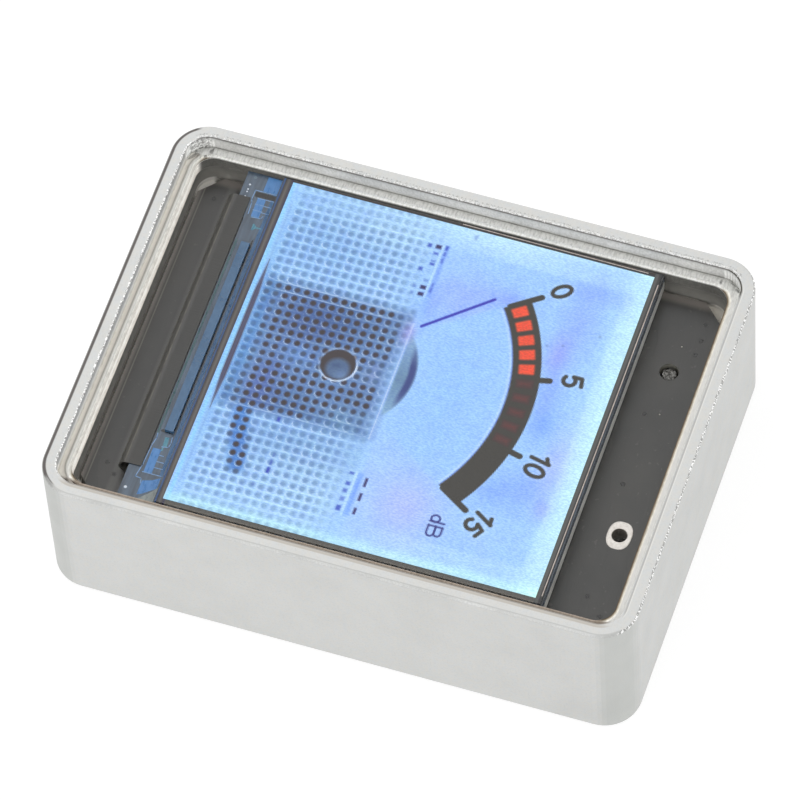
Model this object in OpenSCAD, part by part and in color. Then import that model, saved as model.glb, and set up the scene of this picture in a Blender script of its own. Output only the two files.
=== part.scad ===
// Small pointer-style level meter: a milled aluminium case round a square display
// on a black board, with a clear window, a screwed back cover, a USB-C inlet and
// one push button. X runs across the dial, Y up the dial, Z out of its face.
// The origin is the middle of the flat back. All sizes are millimetres.

/* [Display] */
// Side of the square picture area
active_size = 27.72; // [24:0.01:34]
// Glass beside the picture, left and right
side_border = 0.54; // [0.4:0.01:1.5]
// Glass above the picture
top_border = 0.5; // [0.3:0.05:2]
// Front glass below the picture, to where it ends
lower_border = 0.7; // [0.4:0.05:2]
// Bare strip of rear glass below the front glass, for the driver chip
chip_ledge = 2.75; // [2.4:0.05:4]
// Picture centre above the case centre
picture_rise = 0.78; // [0:0.01:1.2]
// Thickness of the backlight frame
frame_t = 0.9; // [0.8:0.05:1.6]
// Backlight frame kept back from the lower end of the glass
frame_setback = 0.45; // [0.2:0.05:0.6]
// Gap between the picture edge and the frame's inner wall
light_margin = 0.1; // [0.05:0.01:0.3]
// Gap round the light guide and its sheets in the frame
sheet_gap = 0.05; // [0.03:0.01:0.08]
// Thickness of the reflector sheet under the light guide
reflector_t = 0.1; // [0.05:0.01:0.15]
// Thickness of the diffuser and prism films
films_t = 0.2; // [0.1:0.01:0.3]
// Thickness of the rear polariser
rear_polariser_t = 0.1; // [0.06:0.01:0.2]
// Thickness of the rear glass
rear_glass_t = 0.4; // [0.2:0.05:0.7]
// Thickness of the front glass
front_glass_t = 0.35; // [0.3:0.05:0.7]
// Thickness of the front polariser
front_polariser_t = 0.15; // [0.06:0.01:0.25]
// Polariser kept back from the edge of the front glass
polariser_setback = 0.12; // [0.05:0.01:0.3]
// Length of the driver chip across the ledge
chip_l = 16.7; // [12:0.1:20]
// Width of the driver chip
chip_w = 0.65; // [0.5:0.05:1]
// Thickness of the driver chip
chip_t = 0.28; // [0.2:0.01:0.3]
// Gap between the front glass and the driver chip
chip_gap = 0.55; // [0.3:0.05:0.7]
// Width of the flexible circuit where it leaves the glass
flex_w = 23.8; // [20:0.1:24]
// Flexible circuit centre, left of the picture centre
flex_shift = 0.3; // [0:0.05:0.6]
// Thickness of the flexible circuit
flex_t = 0.1; // [0.06:0.01:0.12]
// Length of flexible circuit bonded to the glass
flex_bond = 0.9; // [0.5:0.05:1]
// Gap between the flexible circuit's bend and the end of the glass
flex_clear = 0.05; // [0.02:0.01:0.1]
// Length at full width under the glass
flex_tuck = 1.2; // [0.8:0.1:2]
// Width of the flexible circuit's tail under the display
tail_w = 11; // [8:0.1:14]
// Length of the tail under the display
tail_l = 8; // [5:0.1:12]
// Gap between the flexible circuit and the tape round it
tail_gap = 0.3; // [0.1:0.05:0.5]
// Adhesive tape between the display and the board
tape_t = 0.15; // [0.14:0.01:0.3]
// Number of backlight diodes
led_count = 4; // [2:1:5]
// Length of one diode
led_l = 3; // [2:0.1:3.8]
// Depth of one diode
led_d = 0.8; // [0.6:0.05:1]
// Height of one diode
led_h = 0.5; // [0.4:0.01:0.6]
// Gap round each diode in the backlight frame
led_gap = 0.1; // [0.05:0.01:0.2]
// Tape kept back from the edges of the display
tape_inset = 0.3; // [0.1:0.05:0.5]

/* [Board] */
// Length of the board
board_l = 39.9; // [39:0.1:50]
// Thickness of the board
board_t = 1.2; // [0.8:0.1:1.6]
// Gap between the board and the case walls
board_gap = 0.25; // [0.1:0.05:0.4]
// Legs of the 45 degree corner cuts
board_chamfer = 1.6; // [1.2:0.1:2]
// Adhesive pads under the board's corners
pad_t = 0.15; // [0.1:0.01:0.3]
// Radius of one adhesive pad
pad_r = 0.8; // [0.6:0.05:0.9]
// Pads kept back from the edge of the bosses
pad_inset = 0.2; // [0.05:0.05:0.4]
// Sound hole to the right of the centre
sound_x = 6.2; // [2:0.1:9]
// Sound hole below the board's upper end
sound_inset = 1.7; // [1.5:0.1:2.2]
// Radius of the sound hole through its plating
sound_r = 0.57; // [0.3:0.01:0.7]
// Outer radius of the plated ring
ring_r = 0.98; // [0.85:0.01:1.1]
// Thickness of the plated ring
ring_t = 0.04; // [0.02:0.01:0.1]
// Thickness of the plating inside the hole
plating_t = 0.06; // [0.03:0.01:0.1]
// Radial gap between the plating and the board
plating_gap = 0.01; // [0.01:0.01:0.03]
// Locating hole to the left of the centre
locator_x = 7.8; // [5:0.1:10]
// Locating hole below the board's upper end
locator_inset = 2.4; // [2:0.1:3.2]
// Radius of the locating hole
locator_r = 0.7; // [0.4:0.01:0.9]

/* [Case] */
// Full thickness of the side walls
wall_t = 1.9; // [1.7:0.05:3]
// Flat rim between the outside and the window's seat
lip_t = 1.05; // [0.9:0.05:1.2]
// Outer radius of the upright corners
corner_r = 2.75; // [2.2:0.05:4]
// Radius that the milling cutter leaves in the opening's corners
cutter_r = 1.4; // [0.8:0.05:2]
// Gap between the display and the opening's long sides
display_gap = 0.05; // [0.03:0.01:0.5]
// Ledge that carries the window, above the display
ledge_rise = 0.05; // [0:0.01:0.5]
// Chamfer round the top edge
top_chamfer = 0.14; // [0.05:0.01:0.4]
// Rounding of the bottom edge
foot_r = 0.3; // [0.1:0.05:0.6]
// Free height between the back cover and the board
cavity_h = 7.15; // [6.4:0.05:12]
// Radius of the screw bosses
boss_r = 2.1; // [1.8:0.05:2.4]
// Height of the corner stubs beside the board's corner cuts
stub_h = 0.45; // [0.2:0.05:0.8]
// Gap between the corner stubs and the board
stub_gap = 0.15; // [0.1:0.01:0.3]

/* [Window] */
// Thickness of the clear window
pane_t = 1; // [0.8:0.05:2]
// Gap between the window and the case
pane_gap = 0.1; // [0.05:0.01:0.2]
// Window's face below the rim
pane_recess = 0.1; // [0:0.01:0.3]
// Thickness of the adhesive under the window
adhesive_t = 0.1; // [0.05:0.01:0.2]
// Width of the adhesive line
adhesive_w = 0.5; // [0.3:0.05:0.6]

/* [Back cover] */
// Thickness of the back cover
cover_t = 1.2; // [1:0.05:2]
// Gap between the back cover and the case
cover_gap = 0.08; // [0.05:0.01:0.2]
// Radius of the screw thread
screw_r = 0.8; // [0.6:0.05:0.9]
// Radius of the countersunk head
head_r = 1.45; // [1.3:0.05:1.6]
// Height of the conical part of the head
head_h = 0.8; // [0.6:0.05:0.9]
// Length of the screw below its head's face
screw_l = 4.5; // [3.5:0.1:5.5]
// Head's face below the cover's face
head_recess = 0.05; // [0:0.01:0.1]
// Radial gap round the screws
screw_gap = 0.03; // [0.02:0.01:0.06]
// Edge of the cover outside the screw heads
head_margin = 0.4; // [0.3:0.05:0.8]
// Length of the slots of the cross recess in the heads
cross_l = 1.74; // [1.4:0.01:2]
// Width of the slots of the cross recess
cross_w = 0.36; // [0.25:0.01:0.5]
// Depth of the cross recess
cross_depth = 0.56; // [0.4:0.01:0.7]
// Tapped holes deeper than the screws reach
tap_reserve = 0.5; // [0.3:0.1:1]

/* [Inlet] */
// Inlet below the middle of the case's left side
usb_drop = 8; // [7:0.1:10]
// Outer width of the inlet's metal shell
usb_w = 8.94; // [8.5:0.01:9.2]
// Outer height of the inlet's metal shell
usb_h = 3.16; // [3:0.01:3.4]
// Length of the inlet's metal shell
usb_l = 7.35; // [6.5:0.05:9]
// Shell's mouth behind the inner face of the wall
usb_setback = 0.1; // [0.05:0.05:0.3]
// Thickness of the shell's sheet metal
usb_shell_t = 0.3; // [0.2:0.01:0.35]
// Width of the tongue
tongue_w = 6.69; // [6:0.01:7]
// Thickness of the tongue
tongue_t = 0.7; // [0.6:0.01:0.8]
// Tongue's tip behind the shell's mouth
tongue_inset = 0.9; // [0.5:0.05:1.2]
// Depth of the solid block at the back of the inlet
usb_block_l = 2; // [1.5:0.1:3]
// Gap between that block and the shell
usb_block_gap = 0.02; // [0.01:0.01:0.05]
// Front legs behind the shell's mouth
leg_front = 1.6; // [1:0.1:2.5]
// Back legs behind the shell's mouth
leg_back = 5.4; // [4.5:0.1:6]
// Width of one leg
leg_w = 1; // [0.6:0.1:1.2]
// Legs short of the board's front face
leg_short = 0.1; // [0.05:0.05:0.3]
// Gap round the legs in the board's slots
leg_gap = 0.08; // [0.05:0.01:0.15]
// Contacts on each side of the tongue
contact_count = 12; // [6:1:12]
// Pitch of the contacts
contact_pitch = 0.5; // [0.4:0.01:0.52]
// Width of one contact
contact_w = 0.26; // [0.2:0.01:0.35]
// Thickness of one contact
contact_t = 0.05; // [0.03:0.01:0.1]
// Contacts behind the tongue's tip
contact_tip = 0.35; // [0.2:0.05:0.6]
// Contacts in front of the block
contact_free = 0.05; // [0.02:0.01:0.2]
// Gap between the shell and the slot in the wall
slot_gap = 0.15; // [0.1:0.01:0.3]
// Width of the outer recess that takes the plug's grip
grip_w = 12.6; // [11.5:0.1:13.2]
// Height of the outer recess
grip_h = 6.4; // [5.6:0.1:6.8]
// Depth of the outer recess
grip_depth = 1.3; // [0.8:0.05:1.4]

/* [Button] */
// Button above the middle of the case's left side
button_rise = 8; // [6:0.1:11]
// Radius of the button cap
cap_r = 1.3; // [1:0.05:1.5]
// How far the cap stands out of the wall
cap_proud = 0.6; // [0.4:0.05:1]
// Rounding of the cap's face
cap_round = 0.25; // [0.1:0.05:0.4]
// Radial running gap round the cap
cap_gap = 0.05; // [0.03:0.01:0.1]
// Flange that keeps the cap in, beyond its radius
flange_over = 0.35; // [0.25:0.05:0.4]
// Thickness of the flange
flange_t = 0.4; // [0.3:0.05:0.6]
// Gap between the flange and the floor of its bore in the wall
flange_gap = 0.05; // [0.03:0.01:0.15]
// Flange still inside its bore by this much at full travel
flange_reserve = 0.1; // [0.05:0.01:0.2]
// Travel of the button
travel = 0.25; // [0.15:0.01:0.35]
// Gap between the switch and the inner face of the wall
switch_gap = 0.1; // [0.05:0.01:0.15]
// Switch width along the wall
switch_w = 4.5; // [4:0.1:5]
// Switch depth away from the wall
switch_d = 3.4; // [3:0.1:5]
// Switch height below the board
switch_h = 3.9; // [3.7:0.1:5]
// Thickness of the switch's front and side walls
switch_wall = 0.4; // [0.3:0.05:0.5]
// Width of the plunger
plunger_w = 2.4; // [1.8:0.1:2.6]
// Height of the plunger
plunger_h = 1.2; // [1:0.05:1.6]
// Running gap round the plunger
plunger_gap = 0.05; // [0.03:0.01:0.1]
// Shoulder that keeps the plunger in
shoulder = 0.3; // [0.2:0.05:0.4]
// Thickness of that shoulder
shoulder_t = 0.5; // [0.3:0.05:0.6]
// Radius of the nub that presses the snap dome
nub_r = 0.4; // [0.3:0.05:0.5]
// Length of the nub
nub_l = 0.35; // [0.2:0.05:0.5]
// Gap left between the nub and the dome at full travel
nub_gap = 0.05; // [0.03:0.01:0.1]
// Radius of the snap dome
dome_r = 1.2; // [1:0.05:1.4]
// Rise of the snap dome
dome_rise = 0.3; // [0.2:0.01:0.4]
// Thickness of the snap dome's sheet
dome_t = 0.08; // [0.05:0.01:0.1]

/* [Circuit] */
// Controller chip to the right of the board's middle
mcu_x = 4; // [3:0.1:4.4]
// Controller chip above the board's middle
mcu_y = 0; // [-1:0.1:2]
// Free board round the controller chip
mcu_free = 2.2; // [2:0.1:2.4]
// Free board between the rows of parts below it
row_free = 1.5; // [1:0.1:1.8]
// Free board behind the inlet
inlet_free = 1.8; // [1.5:0.1:2]
// Side of the controller chip
mcu_size = 6; // [5:0.1:6.4]
// Thickness of the controller chip
mcu_t = 0.85; // [0.7:0.05:1.2]
// Terminals along each side of the controller chip
mcu_pins = 12; // [6:1:14]
// Length of one of its terminals
mcu_pin_l = 0.4; // [0.3:0.05:0.5]
// Thickness of one of its terminals
mcu_pin_t = 0.25; // [0.1:0.01:0.3]
// Free of terminals at each end of a side
mcu_corner = 0.5; // [0.4:0.05:0.8]
// Terminals stand out of the body by this much
mcu_pin_out = 0.05; // [0.02:0.01:0.1]
// Solder under the body
solder_t = 0.05; // [0.03:0.01:0.1]
// Dimple that marks the first terminal, from the body's edges
dimple_inset = 0.8; // [0.6:0.1:1.2]
// Radius of the dimple
dimple_r = 0.3; // [0.2:0.05:0.4]
// Depth of the dimple
dimple_depth = 0.1; // [0.05:0.01:0.2]
// Length of the memory chip's body
memory_l = 4.9; // [4.5:0.1:5.3]
// Width of the memory chip's body
memory_w = 3.9; // [3.6:0.1:4.2]
// Thickness of the memory chip's body
memory_t = 1.45; // [1.2:0.05:1.8]
// Pitch of the memory chip's leads
memory_pitch = 1.27; // [1:0.01:1.27]
// Length of the bodies with three leads
trio_l = 2.9; // [2.7:0.05:3.1]
// Width of the bodies with three leads
trio_w = 1.6; // [1.2:0.05:1.8]
// Thickness of the bodies with three leads
trio_t = 1.1; // [0.9:0.05:1.3]
// Their outer leads on each side of the middle
trio_pitch = 0.95; // [0.9:0.01:1]
// Pitch of the two bodies with three leads
trio_spacing = 7; // [5:0.1:8]
// Width of the leads
lead_w = 0.4; // [0.3:0.01:0.5]
// Thickness of the leads
lead_t = 0.15; // [0.1:0.01:0.2]
// Leads reach this far out of the bodies
lead_reach = 1; // [0.8:0.05:1.2]
// Bodies on leads stand off the board
standoff = 0.1; // [0.05:0.01:0.2]
// Length of the crystal's case
crystal_l = 3.2; // [2.5:0.1:3.6]
// Width of the crystal's case
crystal_w = 2.5; // [2:0.1:2.8]
// Thickness of the crystal's case
crystal_t = 0.75; // [0.5:0.05:1]
// Metal lid kept back from the edge of the crystal's case
lid_inset = 0.2; // [0.1:0.05:0.3]
// Thickness of that lid
lid_t = 0.15; // [0.1:0.05:0.2]
// Rounding of the corners of lids and cans
lid_r = 0.3; // [0.1:0.05:0.4]
// Length of the microphone's can
mic_l = 3.5; // [3:0.1:3.8]
// Width of the microphone's can
mic_w = 2.65; // [2.3:0.05:2.8]
// Height of the microphone's can
mic_t = 0.98; // [0.8:0.01:1.2]
// Thickness of the carrier under the can
carrier_t = 0.25; // [0.2:0.01:0.35]
// Can kept back from the edge of its carrier
can_inset = 0.1; // [0.05:0.01:0.2]
// Microphone kept back from the edge of the board
mic_inset = 0.2; // [0.1:0.05:0.4]
// Radius of the port in the carrier
port_r = 0.28; // [0.15:0.01:0.4]
// Length of a chip capacitor or resistor
chip_part_l = 1.6; // [1.2:0.05:1.8]
// Width of a chip capacitor or resistor
chip_part_w = 0.8; // [0.6:0.05:0.9]
// Height of a chip capacitor
capacitor_t = 0.8; // [0.5:0.05:0.9]
// Height of a chip resistor
resistor_t = 0.45; // [0.3:0.05:0.6]
// Pitch of the rows of chip parts
row_pitch = 1.9; // [1.5:0.05:2]
// Pitch of chip parts along a column
column_pitch = 2.2; // [2:0.05:2.6]
// Length of a chip part's end caps
end_cap = 0.3; // [0.2:0.05:0.4]
// End caps stand out of the body by this much
end_cap_out = 0.03; // [0.02:0.01:0.05]

/* [Hidden] */

// Cuts run past the faces that they open by this much
over = 0.5;

// Display, in plan
display_w = active_size + 2 * side_border;
display_top = picture_rise + active_size / 2 + top_border;
picture_bottom = picture_rise - active_size / 2;
front_glass_bottom = picture_bottom - lower_border;
glass_bottom = front_glass_bottom - chip_ledge;
frame_bottom = glass_bottom + frame_setback;
light_w = active_size + 2 * light_margin;
light_top = picture_rise + active_size / 2 + light_margin;
light_bottom = picture_bottom - light_margin;
led_pocket_bottom = light_bottom - led_d - 2 * led_gap;
led_pitch = active_size / led_count;
tape_bottom = glass_bottom + flex_tuck + tail_gap;

// Case, in plan
opening_w = display_w + 2 * display_gap;
opening_l = board_l + 2 * board_gap;
case_w = opening_w + 2 * wall_t;
case_l = opening_l + 2 * wall_t;
rebate_w = case_w - 2 * lip_t;
rebate_l = case_l - 2 * lip_t;
rebate_r = corner_r - lip_t;
board_w = opening_w - 2 * board_gap;

// Heights, from the flat back upwards
board_z = cover_t + cavity_h;
board_top = board_z + board_t;
shelf_z = board_z - pad_t;
stub_z = board_z + stub_h;
display_z = board_top + tape_t;
guide_z = display_z + reflector_t;
guide_t = frame_t - reflector_t - films_t;
films_z = guide_z + guide_t;
rear_polariser_z = display_z + frame_t;
rear_glass_z = rear_polariser_z + rear_polariser_t;
ledge_top = rear_glass_z + rear_glass_t;
front_polariser_z = ledge_top + front_glass_t;
display_face = front_polariser_z + front_polariser_t;
window_seat = display_face + ledge_rise;
case_h = window_seat + adhesive_t + pane_t + pane_recess;

// Screws and their bosses
cover_w = rebate_w - 2 * cover_gap;
cover_l = rebate_l - 2 * cover_gap;
screw_x = cover_w / 2 - head_r - head_margin;
screw_y = cover_l / 2 - head_r - head_margin;
tapped_depth = screw_l - cover_t + tap_reserve;

// Inlet and button on the left wall
left_wall = -opening_w / 2;
left_face = -case_w / 2;
usb_z = board_z - usb_h / 2;
usb_mouth = left_wall + usb_setback;
usb_back = usb_mouth + usb_l;
button_z = board_z - switch_h / 2;
switch_face = left_wall + switch_gap;
flange_bore_d = flange_gap + flange_t + travel + flange_reserve;
flange_face = left_wall - flange_bore_d + flange_gap;
plunger_tip = flange_face + flange_t;
cavity_d = plunger_gap + shoulder_t + nub_l + nub_gap + travel + dome_rise;
dome_seat = switch_face + switch_wall + cavity_d;

// Holes and parts on the board
sound_y = board_l / 2 - sound_inset;
mic_y = board_l / 2 - max(sound_inset, mic_w / 2 + mic_inset);
locator_y = board_l / 2 - locator_inset;
mcu_above = mcu_y + mcu_size / 2 + mcu_free;
mcu_below = mcu_y - mcu_size / 2 - mcu_free;
memory_y = mcu_above + memory_l / 2;
crystal_y = mcu_below - crystal_w / 2;
pair_y = crystal_y - crystal_w / 2 - row_free - chip_part_l / 2;
lowest_y = pair_y - chip_part_l - row_free;
row_left_x = mcu_x - mcu_size / 2 - mcu_free;
row_right_x = mcu_x + mcu_size / 2 + mcu_free + chip_part_w / 2;
trio_x = usb_back + inlet_free + lead_reach + trio_w / 2;

// ---------------------------------------------------------------- shapes

// Rectangle with round corners, centred
module round_rect(w, l, r) {
    square([w - 2 * r, l], center = true);
    square([w, l - 2 * r], center = true);
    for (x = [-1, 1], y = [-1, 1])
        translate([x * (w / 2 - r), y * (l / 2 - r)])
            circle(r = r, $fn = 64);
}

// Upright slab of that rectangle
module round_slab(w, l, r, h) {
    linear_extrude(h) round_rect(w, l, r);
}

// Slot with full round ends, extruded along +X
module slot_along_x(w, h, depth) {
    rotate([90, 0, 90])
        linear_extrude(depth) {
            square([w - h, h], center = true);
            for (s = [-1, 1])
                translate([s * (w - h) / 2, 0]) circle(r = h / 2, $fn = 64);
        }
}

// Half outline of an edge: chamfer above, rounding below, out to x = reach
module edge_half(reach, h) {
    square([reach - foot_r, h - top_chamfer]);
    translate([0, foot_r])
        square([reach, h - top_chamfer - foot_r]);
    translate([reach - foot_r, foot_r])
        circle(r = foot_r, $fn = 48);
    polygon([
        [0, h - top_chamfer - foot_r],
        [reach, h - top_chamfer - foot_r],
        [reach, h - top_chamfer],
        [reach - top_chamfer, h],
        [0, h]
    ]);
}

module edge_outline(width, h) {
    edge_half(width / 2, h);
    mirror([1, 0]) edge_half(width / 2, h);
}

// Block with round upright corners, a chamfered top edge and a rounded foot
module soft_block(w, l, h, r) {
    rotate([90, 0, 0])
        linear_extrude(l - 2 * r, center = true) edge_outline(w, h);
    rotate([90, 0, 90])
        linear_extrude(w - 2 * r, center = true) edge_outline(l, h);
    for (x = [-1, 1], y = [-1, 1])
        translate([x * (w / 2 - r), y * (l / 2 - r), 0])
            rotate_extrude($fn = 96) edge_half(r, h);
}

module at_corners(x, y) {
    for (sx = [-1, 1], sy = [-1, 1])
        translate([sx * x, sy * y]) children();
}

// The shape drawn for the +X +Y corner, mirrored to all four
module each_corner() {
    for (mx = [0, 1], my = [0, 1])
        mirror([mx, 0]) mirror([0, my]) children();
}

// Block standing on the board's underside, centred on x, y
module under_board(x, y, w, l, t) {
    translate([x - w / 2, y - l / 2, board_z - t]) cube([w, l, t]);
}

// ---------------------------------------------------------------- case

// Plan of the board, with its corners cut at 45 degrees
module board_plan() {
    w = board_w / 2;
    l = board_l / 2;
    cut = board_chamfer;
    polygon([
        [w - cut, l], [w, l - cut], [w, cut - l], [w - cut, -l],
        [cut - w, -l], [-w, cut - l], [-w, l - cut], [cut - w, l]
    ]);
}

// Opening with the cutter's corner radius
module opening_plan() {
    round_rect(opening_w, opening_l, cutter_r);
}

// Round bosses that fill the corners beyond the screws
module boss_plan() {
    reach = corner_r + wall_t;
    each_corner()
        translate([screw_x, screw_y]) {
            circle(r = boss_r, $fn = 64);
            translate([0, -boss_r]) square([reach, reach + boss_r]);
            translate([-boss_r, 0]) square([reach + boss_r, reach]);
        }
}

// Corner stubs beside the board's cut corners: all that lies beyond a line
// parallel to the cut
module stub_plan() {
    w = opening_w / 2 + over;
    l = opening_l / 2 + over;
    line = (board_w + board_l) / 2 - board_chamfer + stub_gap * sqrt(2);
    each_corner() polygon([[line - l, l], [w, line - w], [w, l]]);
}

module case_pocket() {
    // room under the board, between the four bosses
    translate([0, 0, cover_t - over])
        linear_extrude(shelf_z - cover_t + over)
            difference() {
                opening_plan();
                boss_plan();
            }
    // the board's own level, beside the corner stubs
    translate([0, 0, shelf_z])
        linear_extrude(stub_z - shelf_z)
            difference() {
                opening_plan();
                stub_plan();
            }
    // straight walls above the stubs
    translate([0, 0, stub_z])
        linear_extrude(case_h - stub_z) opening_plan();
}

module case() {
    color([0.83, 0.83, 0.82])
    difference() {
        soft_block(case_w, case_l, case_h, corner_r);
        case_pocket();
        // window's seat
        translate([0, 0, window_seat])
            round_slab(rebate_w, rebate_l, rebate_r, case_h);
        // back cover's seat
        translate([0, 0, -over])
            round_slab(rebate_w, rebate_l, rebate_r, cover_t + over);
        // tapped holes, blind
        translate([0, 0, cover_t - over])
            at_corners(screw_x, screw_y)
                cylinder(r = screw_r + screw_gap, h = tapped_depth + over, $fn = 32);
        // inlet: recess for the plug's grip, then the slot for the shell
        translate([left_face - over, -usb_drop, usb_z])
            slot_along_x(grip_w, grip_h, grip_depth + over);
        translate([left_face - over, -usb_drop, usb_z])
            slot_along_x(usb_w + 2 * slot_gap, usb_h + 2 * slot_gap, wall_t + 2 * over);
        // button: its hole, and the wider bore behind it for the flange
        translate([left_face - over, button_rise, button_z])
            rotate([0, 90, 0])
                cylinder(r = cap_r + cap_gap, h = wall_t + 2 * over, $fn = 48);
        translate([left_wall - flange_bore_d, button_rise, button_z])
            rotate([0, 90, 0])
                cylinder(r = cap_r + flange_over + cap_gap, h = flange_bore_d + over, $fn = 48);
    }
}

module back_cover() {
    color([0.80, 0.80, 0.79])
    difference() {
        round_slab(cover_w, cover_l, rebate_r - cover_gap, cover_t);
        translate([0, 0, -over])
            at_corners(screw_x, screw_y)
                cylinder(r = screw_r + 2 * screw_gap, h = cover_t + 2 * over, $fn = 32);
        at_corners(screw_x, screw_y) head_cone(screw_gap);
    }
}

// Countersunk head, its face down at the cover's face
module head_cone(grow) {
    translate([0, 0, -over])
        cylinder(r = head_r + grow, h = over + head_recess, $fn = 48);
    translate([0, 0, head_recess])
        cylinder(r1 = head_r + grow, r2 = screw_r + grow, h = head_h, $fn = 48);
}

module cover_screws() {
    color([0.62, 0.62, 0.63])
    at_corners(screw_x, screw_y)
        difference() {
            union() {
                translate([0, 0, head_recess])
                    cylinder(r1 = head_r, r2 = screw_r, h = head_h, $fn = 48);
                translate([0, 0, head_recess])
                    cylinder(r = screw_r, h = screw_l, $fn = 32);
            }
            // cross recess
            for (a = [0, 90])
                rotate([0, 0, a])
                    translate([-cross_l / 2, -cross_w / 2, -over])
                        cube([cross_l, cross_w, over + head_recess + cross_depth]);
        }
}

// ---------------------------------------------------------------- window

module window_pane() {
    color([0.85, 0.9, 0.92, 0.3])
    translate([0, 0, window_seat + adhesive_t])
        round_slab(rebate_w - 2 * pane_gap, rebate_l - 2 * pane_gap, rebate_r - pane_gap, pane_t);
}

module window_adhesive() {
    outer_w = rebate_w - 2 * pane_gap;
    outer_l = rebate_l - 2 * pane_gap;
    outer_r = rebate_r - pane_gap;
    color([0.8, 0.8, 0.8, 0.5])
    translate([0, 0, window_seat])
        linear_extrude(adhesive_t)
            difference() {
                round_rect(outer_w, outer_l, outer_r);
                round_rect(outer_w - 2 * adhesive_w, outer_l - 2 * adhesive_w, cutter_r);
            }
}

// ---------------------------------------------------------------- board

module main_board() {
    color([0.09, 0.09, 0.09])
    difference() {
        translate([0, 0, board_z]) linear_extrude(board_t) board_plan();
        translate([sound_x, sound_y, board_z - over])
            cylinder(r = sound_r + plating_t + plating_gap, h = board_t + 2 * over, $fn = 32);
        translate([-locator_x, locator_y, board_z - over])
            cylinder(r = locator_r, h = board_t + 2 * over, $fn = 32);
        usb_legs(leg_gap, over);
    }
}

// Plated barrel with a ring on the front face
module sound_hole_plating() {
    color([0.86, 0.86, 0.84])
    translate([sound_x, sound_y, board_z])
        difference() {
            union() {
                cylinder(r = sound_r + plating_t, h = board_t + ring_t, $fn = 32);
                translate([0, 0, board_t]) cylinder(r = ring_r, h = ring_t, $fn = 48);
            }
            translate([0, 0, -over])
                cylinder(r = sound_r, h = board_t + ring_t + 2 * over, $fn = 32);
        }
}

// Round pads on the bosses, inside the board's cut corners
module board_pads() {
    shift = (boss_r - pad_r - pad_inset) / sqrt(2);
    color([0.25, 0.25, 0.26])
    translate([0, 0, shelf_z])
        at_corners(screw_x - shift, screw_y - shift) cylinder(r = pad_r, h = pad_t, $fn = 32);
}

// Metal can on a small carrier, its port on the sound hole
module microphone() {
    color([0.80, 0.78, 0.70])
    difference() {
        union() {
            under_board(sound_x, mic_y, mic_l, mic_w, carrier_t);
            translate([sound_x, mic_y, board_z - mic_t])
                round_slab(mic_l - 2 * can_inset, mic_w - 2 * can_inset, lid_r, mic_t);
        }
        translate([sound_x, sound_y, board_z - carrier_t])
            cylinder(r = port_r, h = carrier_t + over, $fn = 32);
    }
}

// ---------------------------------------------------------------- display

module display_tape() {
    color([0.12, 0.12, 0.12])
    translate([0, 0, board_top])
        linear_extrude(tape_t)
            difference() {
                translate([-display_w / 2 + tape_inset, tape_bottom])
                    square([display_w - 2 * tape_inset, display_top - tape_inset - tape_bottom]);
                translate([-flex_shift - tail_w / 2 - tail_gap, glass_bottom])
                    square([tail_w + 2 * tail_gap, tail_l + tail_gap]);
            }
}

// Middle of diode i, in X
function led_x(i) = (i - (led_count - 1) / 2) * led_pitch;

module backlight_frame() {
    color([0.90, 0.90, 0.88])
    translate([0, 0, display_z])
        linear_extrude(frame_t)
            difference() {
                translate([-display_w / 2, frame_bottom])
                    square([display_w, display_top - frame_bottom]);
                translate([-light_w / 2, light_bottom])
                    square([light_w, light_top - light_bottom]);
                for (i = [0 : led_count - 1])
                    translate([led_x(i) - led_l / 2 - led_gap, led_pocket_bottom])
                        square([led_l + 2 * led_gap, light_bottom - led_pocket_bottom + over]);
            }
}

module light_sheet(z, t) {
    translate([-light_w / 2 + sheet_gap, light_bottom + sheet_gap, z])
        cube([light_w - 2 * sheet_gap, light_top - light_bottom - 2 * sheet_gap, t]);
}

module reflector_sheet() {
    color([0.92, 0.92, 0.93]) light_sheet(display_z, reflector_t);
}

module light_guide() {
    color([0.90, 0.95, 1, 0.5]) light_sheet(guide_z, guide_t);
}

module optical_films() {
    color([0.95, 0.95, 0.95]) light_sheet(films_z, films_t);
}

module backlight_leds() {
    color([1, 0.95, 0.7])
    for (i = [0 : led_count - 1])
        translate([led_x(i) - led_l / 2, led_pocket_bottom + led_gap, display_z])
            cube([led_l, led_d, led_h]);
}

module display_sheet(bottom, z, t, back) {
    translate([-display_w / 2 + back, bottom + back, z])
        cube([display_w - 2 * back, display_top - bottom - 2 * back, t]);
}

module rear_polariser() {
    color([0.2, 0.2, 0.22])
    display_sheet(front_glass_bottom, rear_polariser_z, rear_polariser_t, polariser_setback);
}

module rear_glass() {
    color([0.35, 0.42, 0.5, 0.6])
    display_sheet(glass_bottom, rear_glass_z, rear_glass_t, 0);
}

module front_glass() {
    color([0.4, 0.45, 0.5, 0.6])
    display_sheet(front_glass_bottom, ledge_top, front_glass_t, 0);
}

module front_polariser() {
    color([0.62, 0.80, 0.95])
    display_sheet(front_glass_bottom, front_polariser_z, front_polariser_t, polariser_setback);
}

module driver_chip() {
    color([0.30, 0.40, 0.50])
    translate([-chip_l / 2, front_glass_bottom - chip_gap - chip_w, ledge_top])
        cube([chip_l, chip_w, chip_t]);
}

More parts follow.
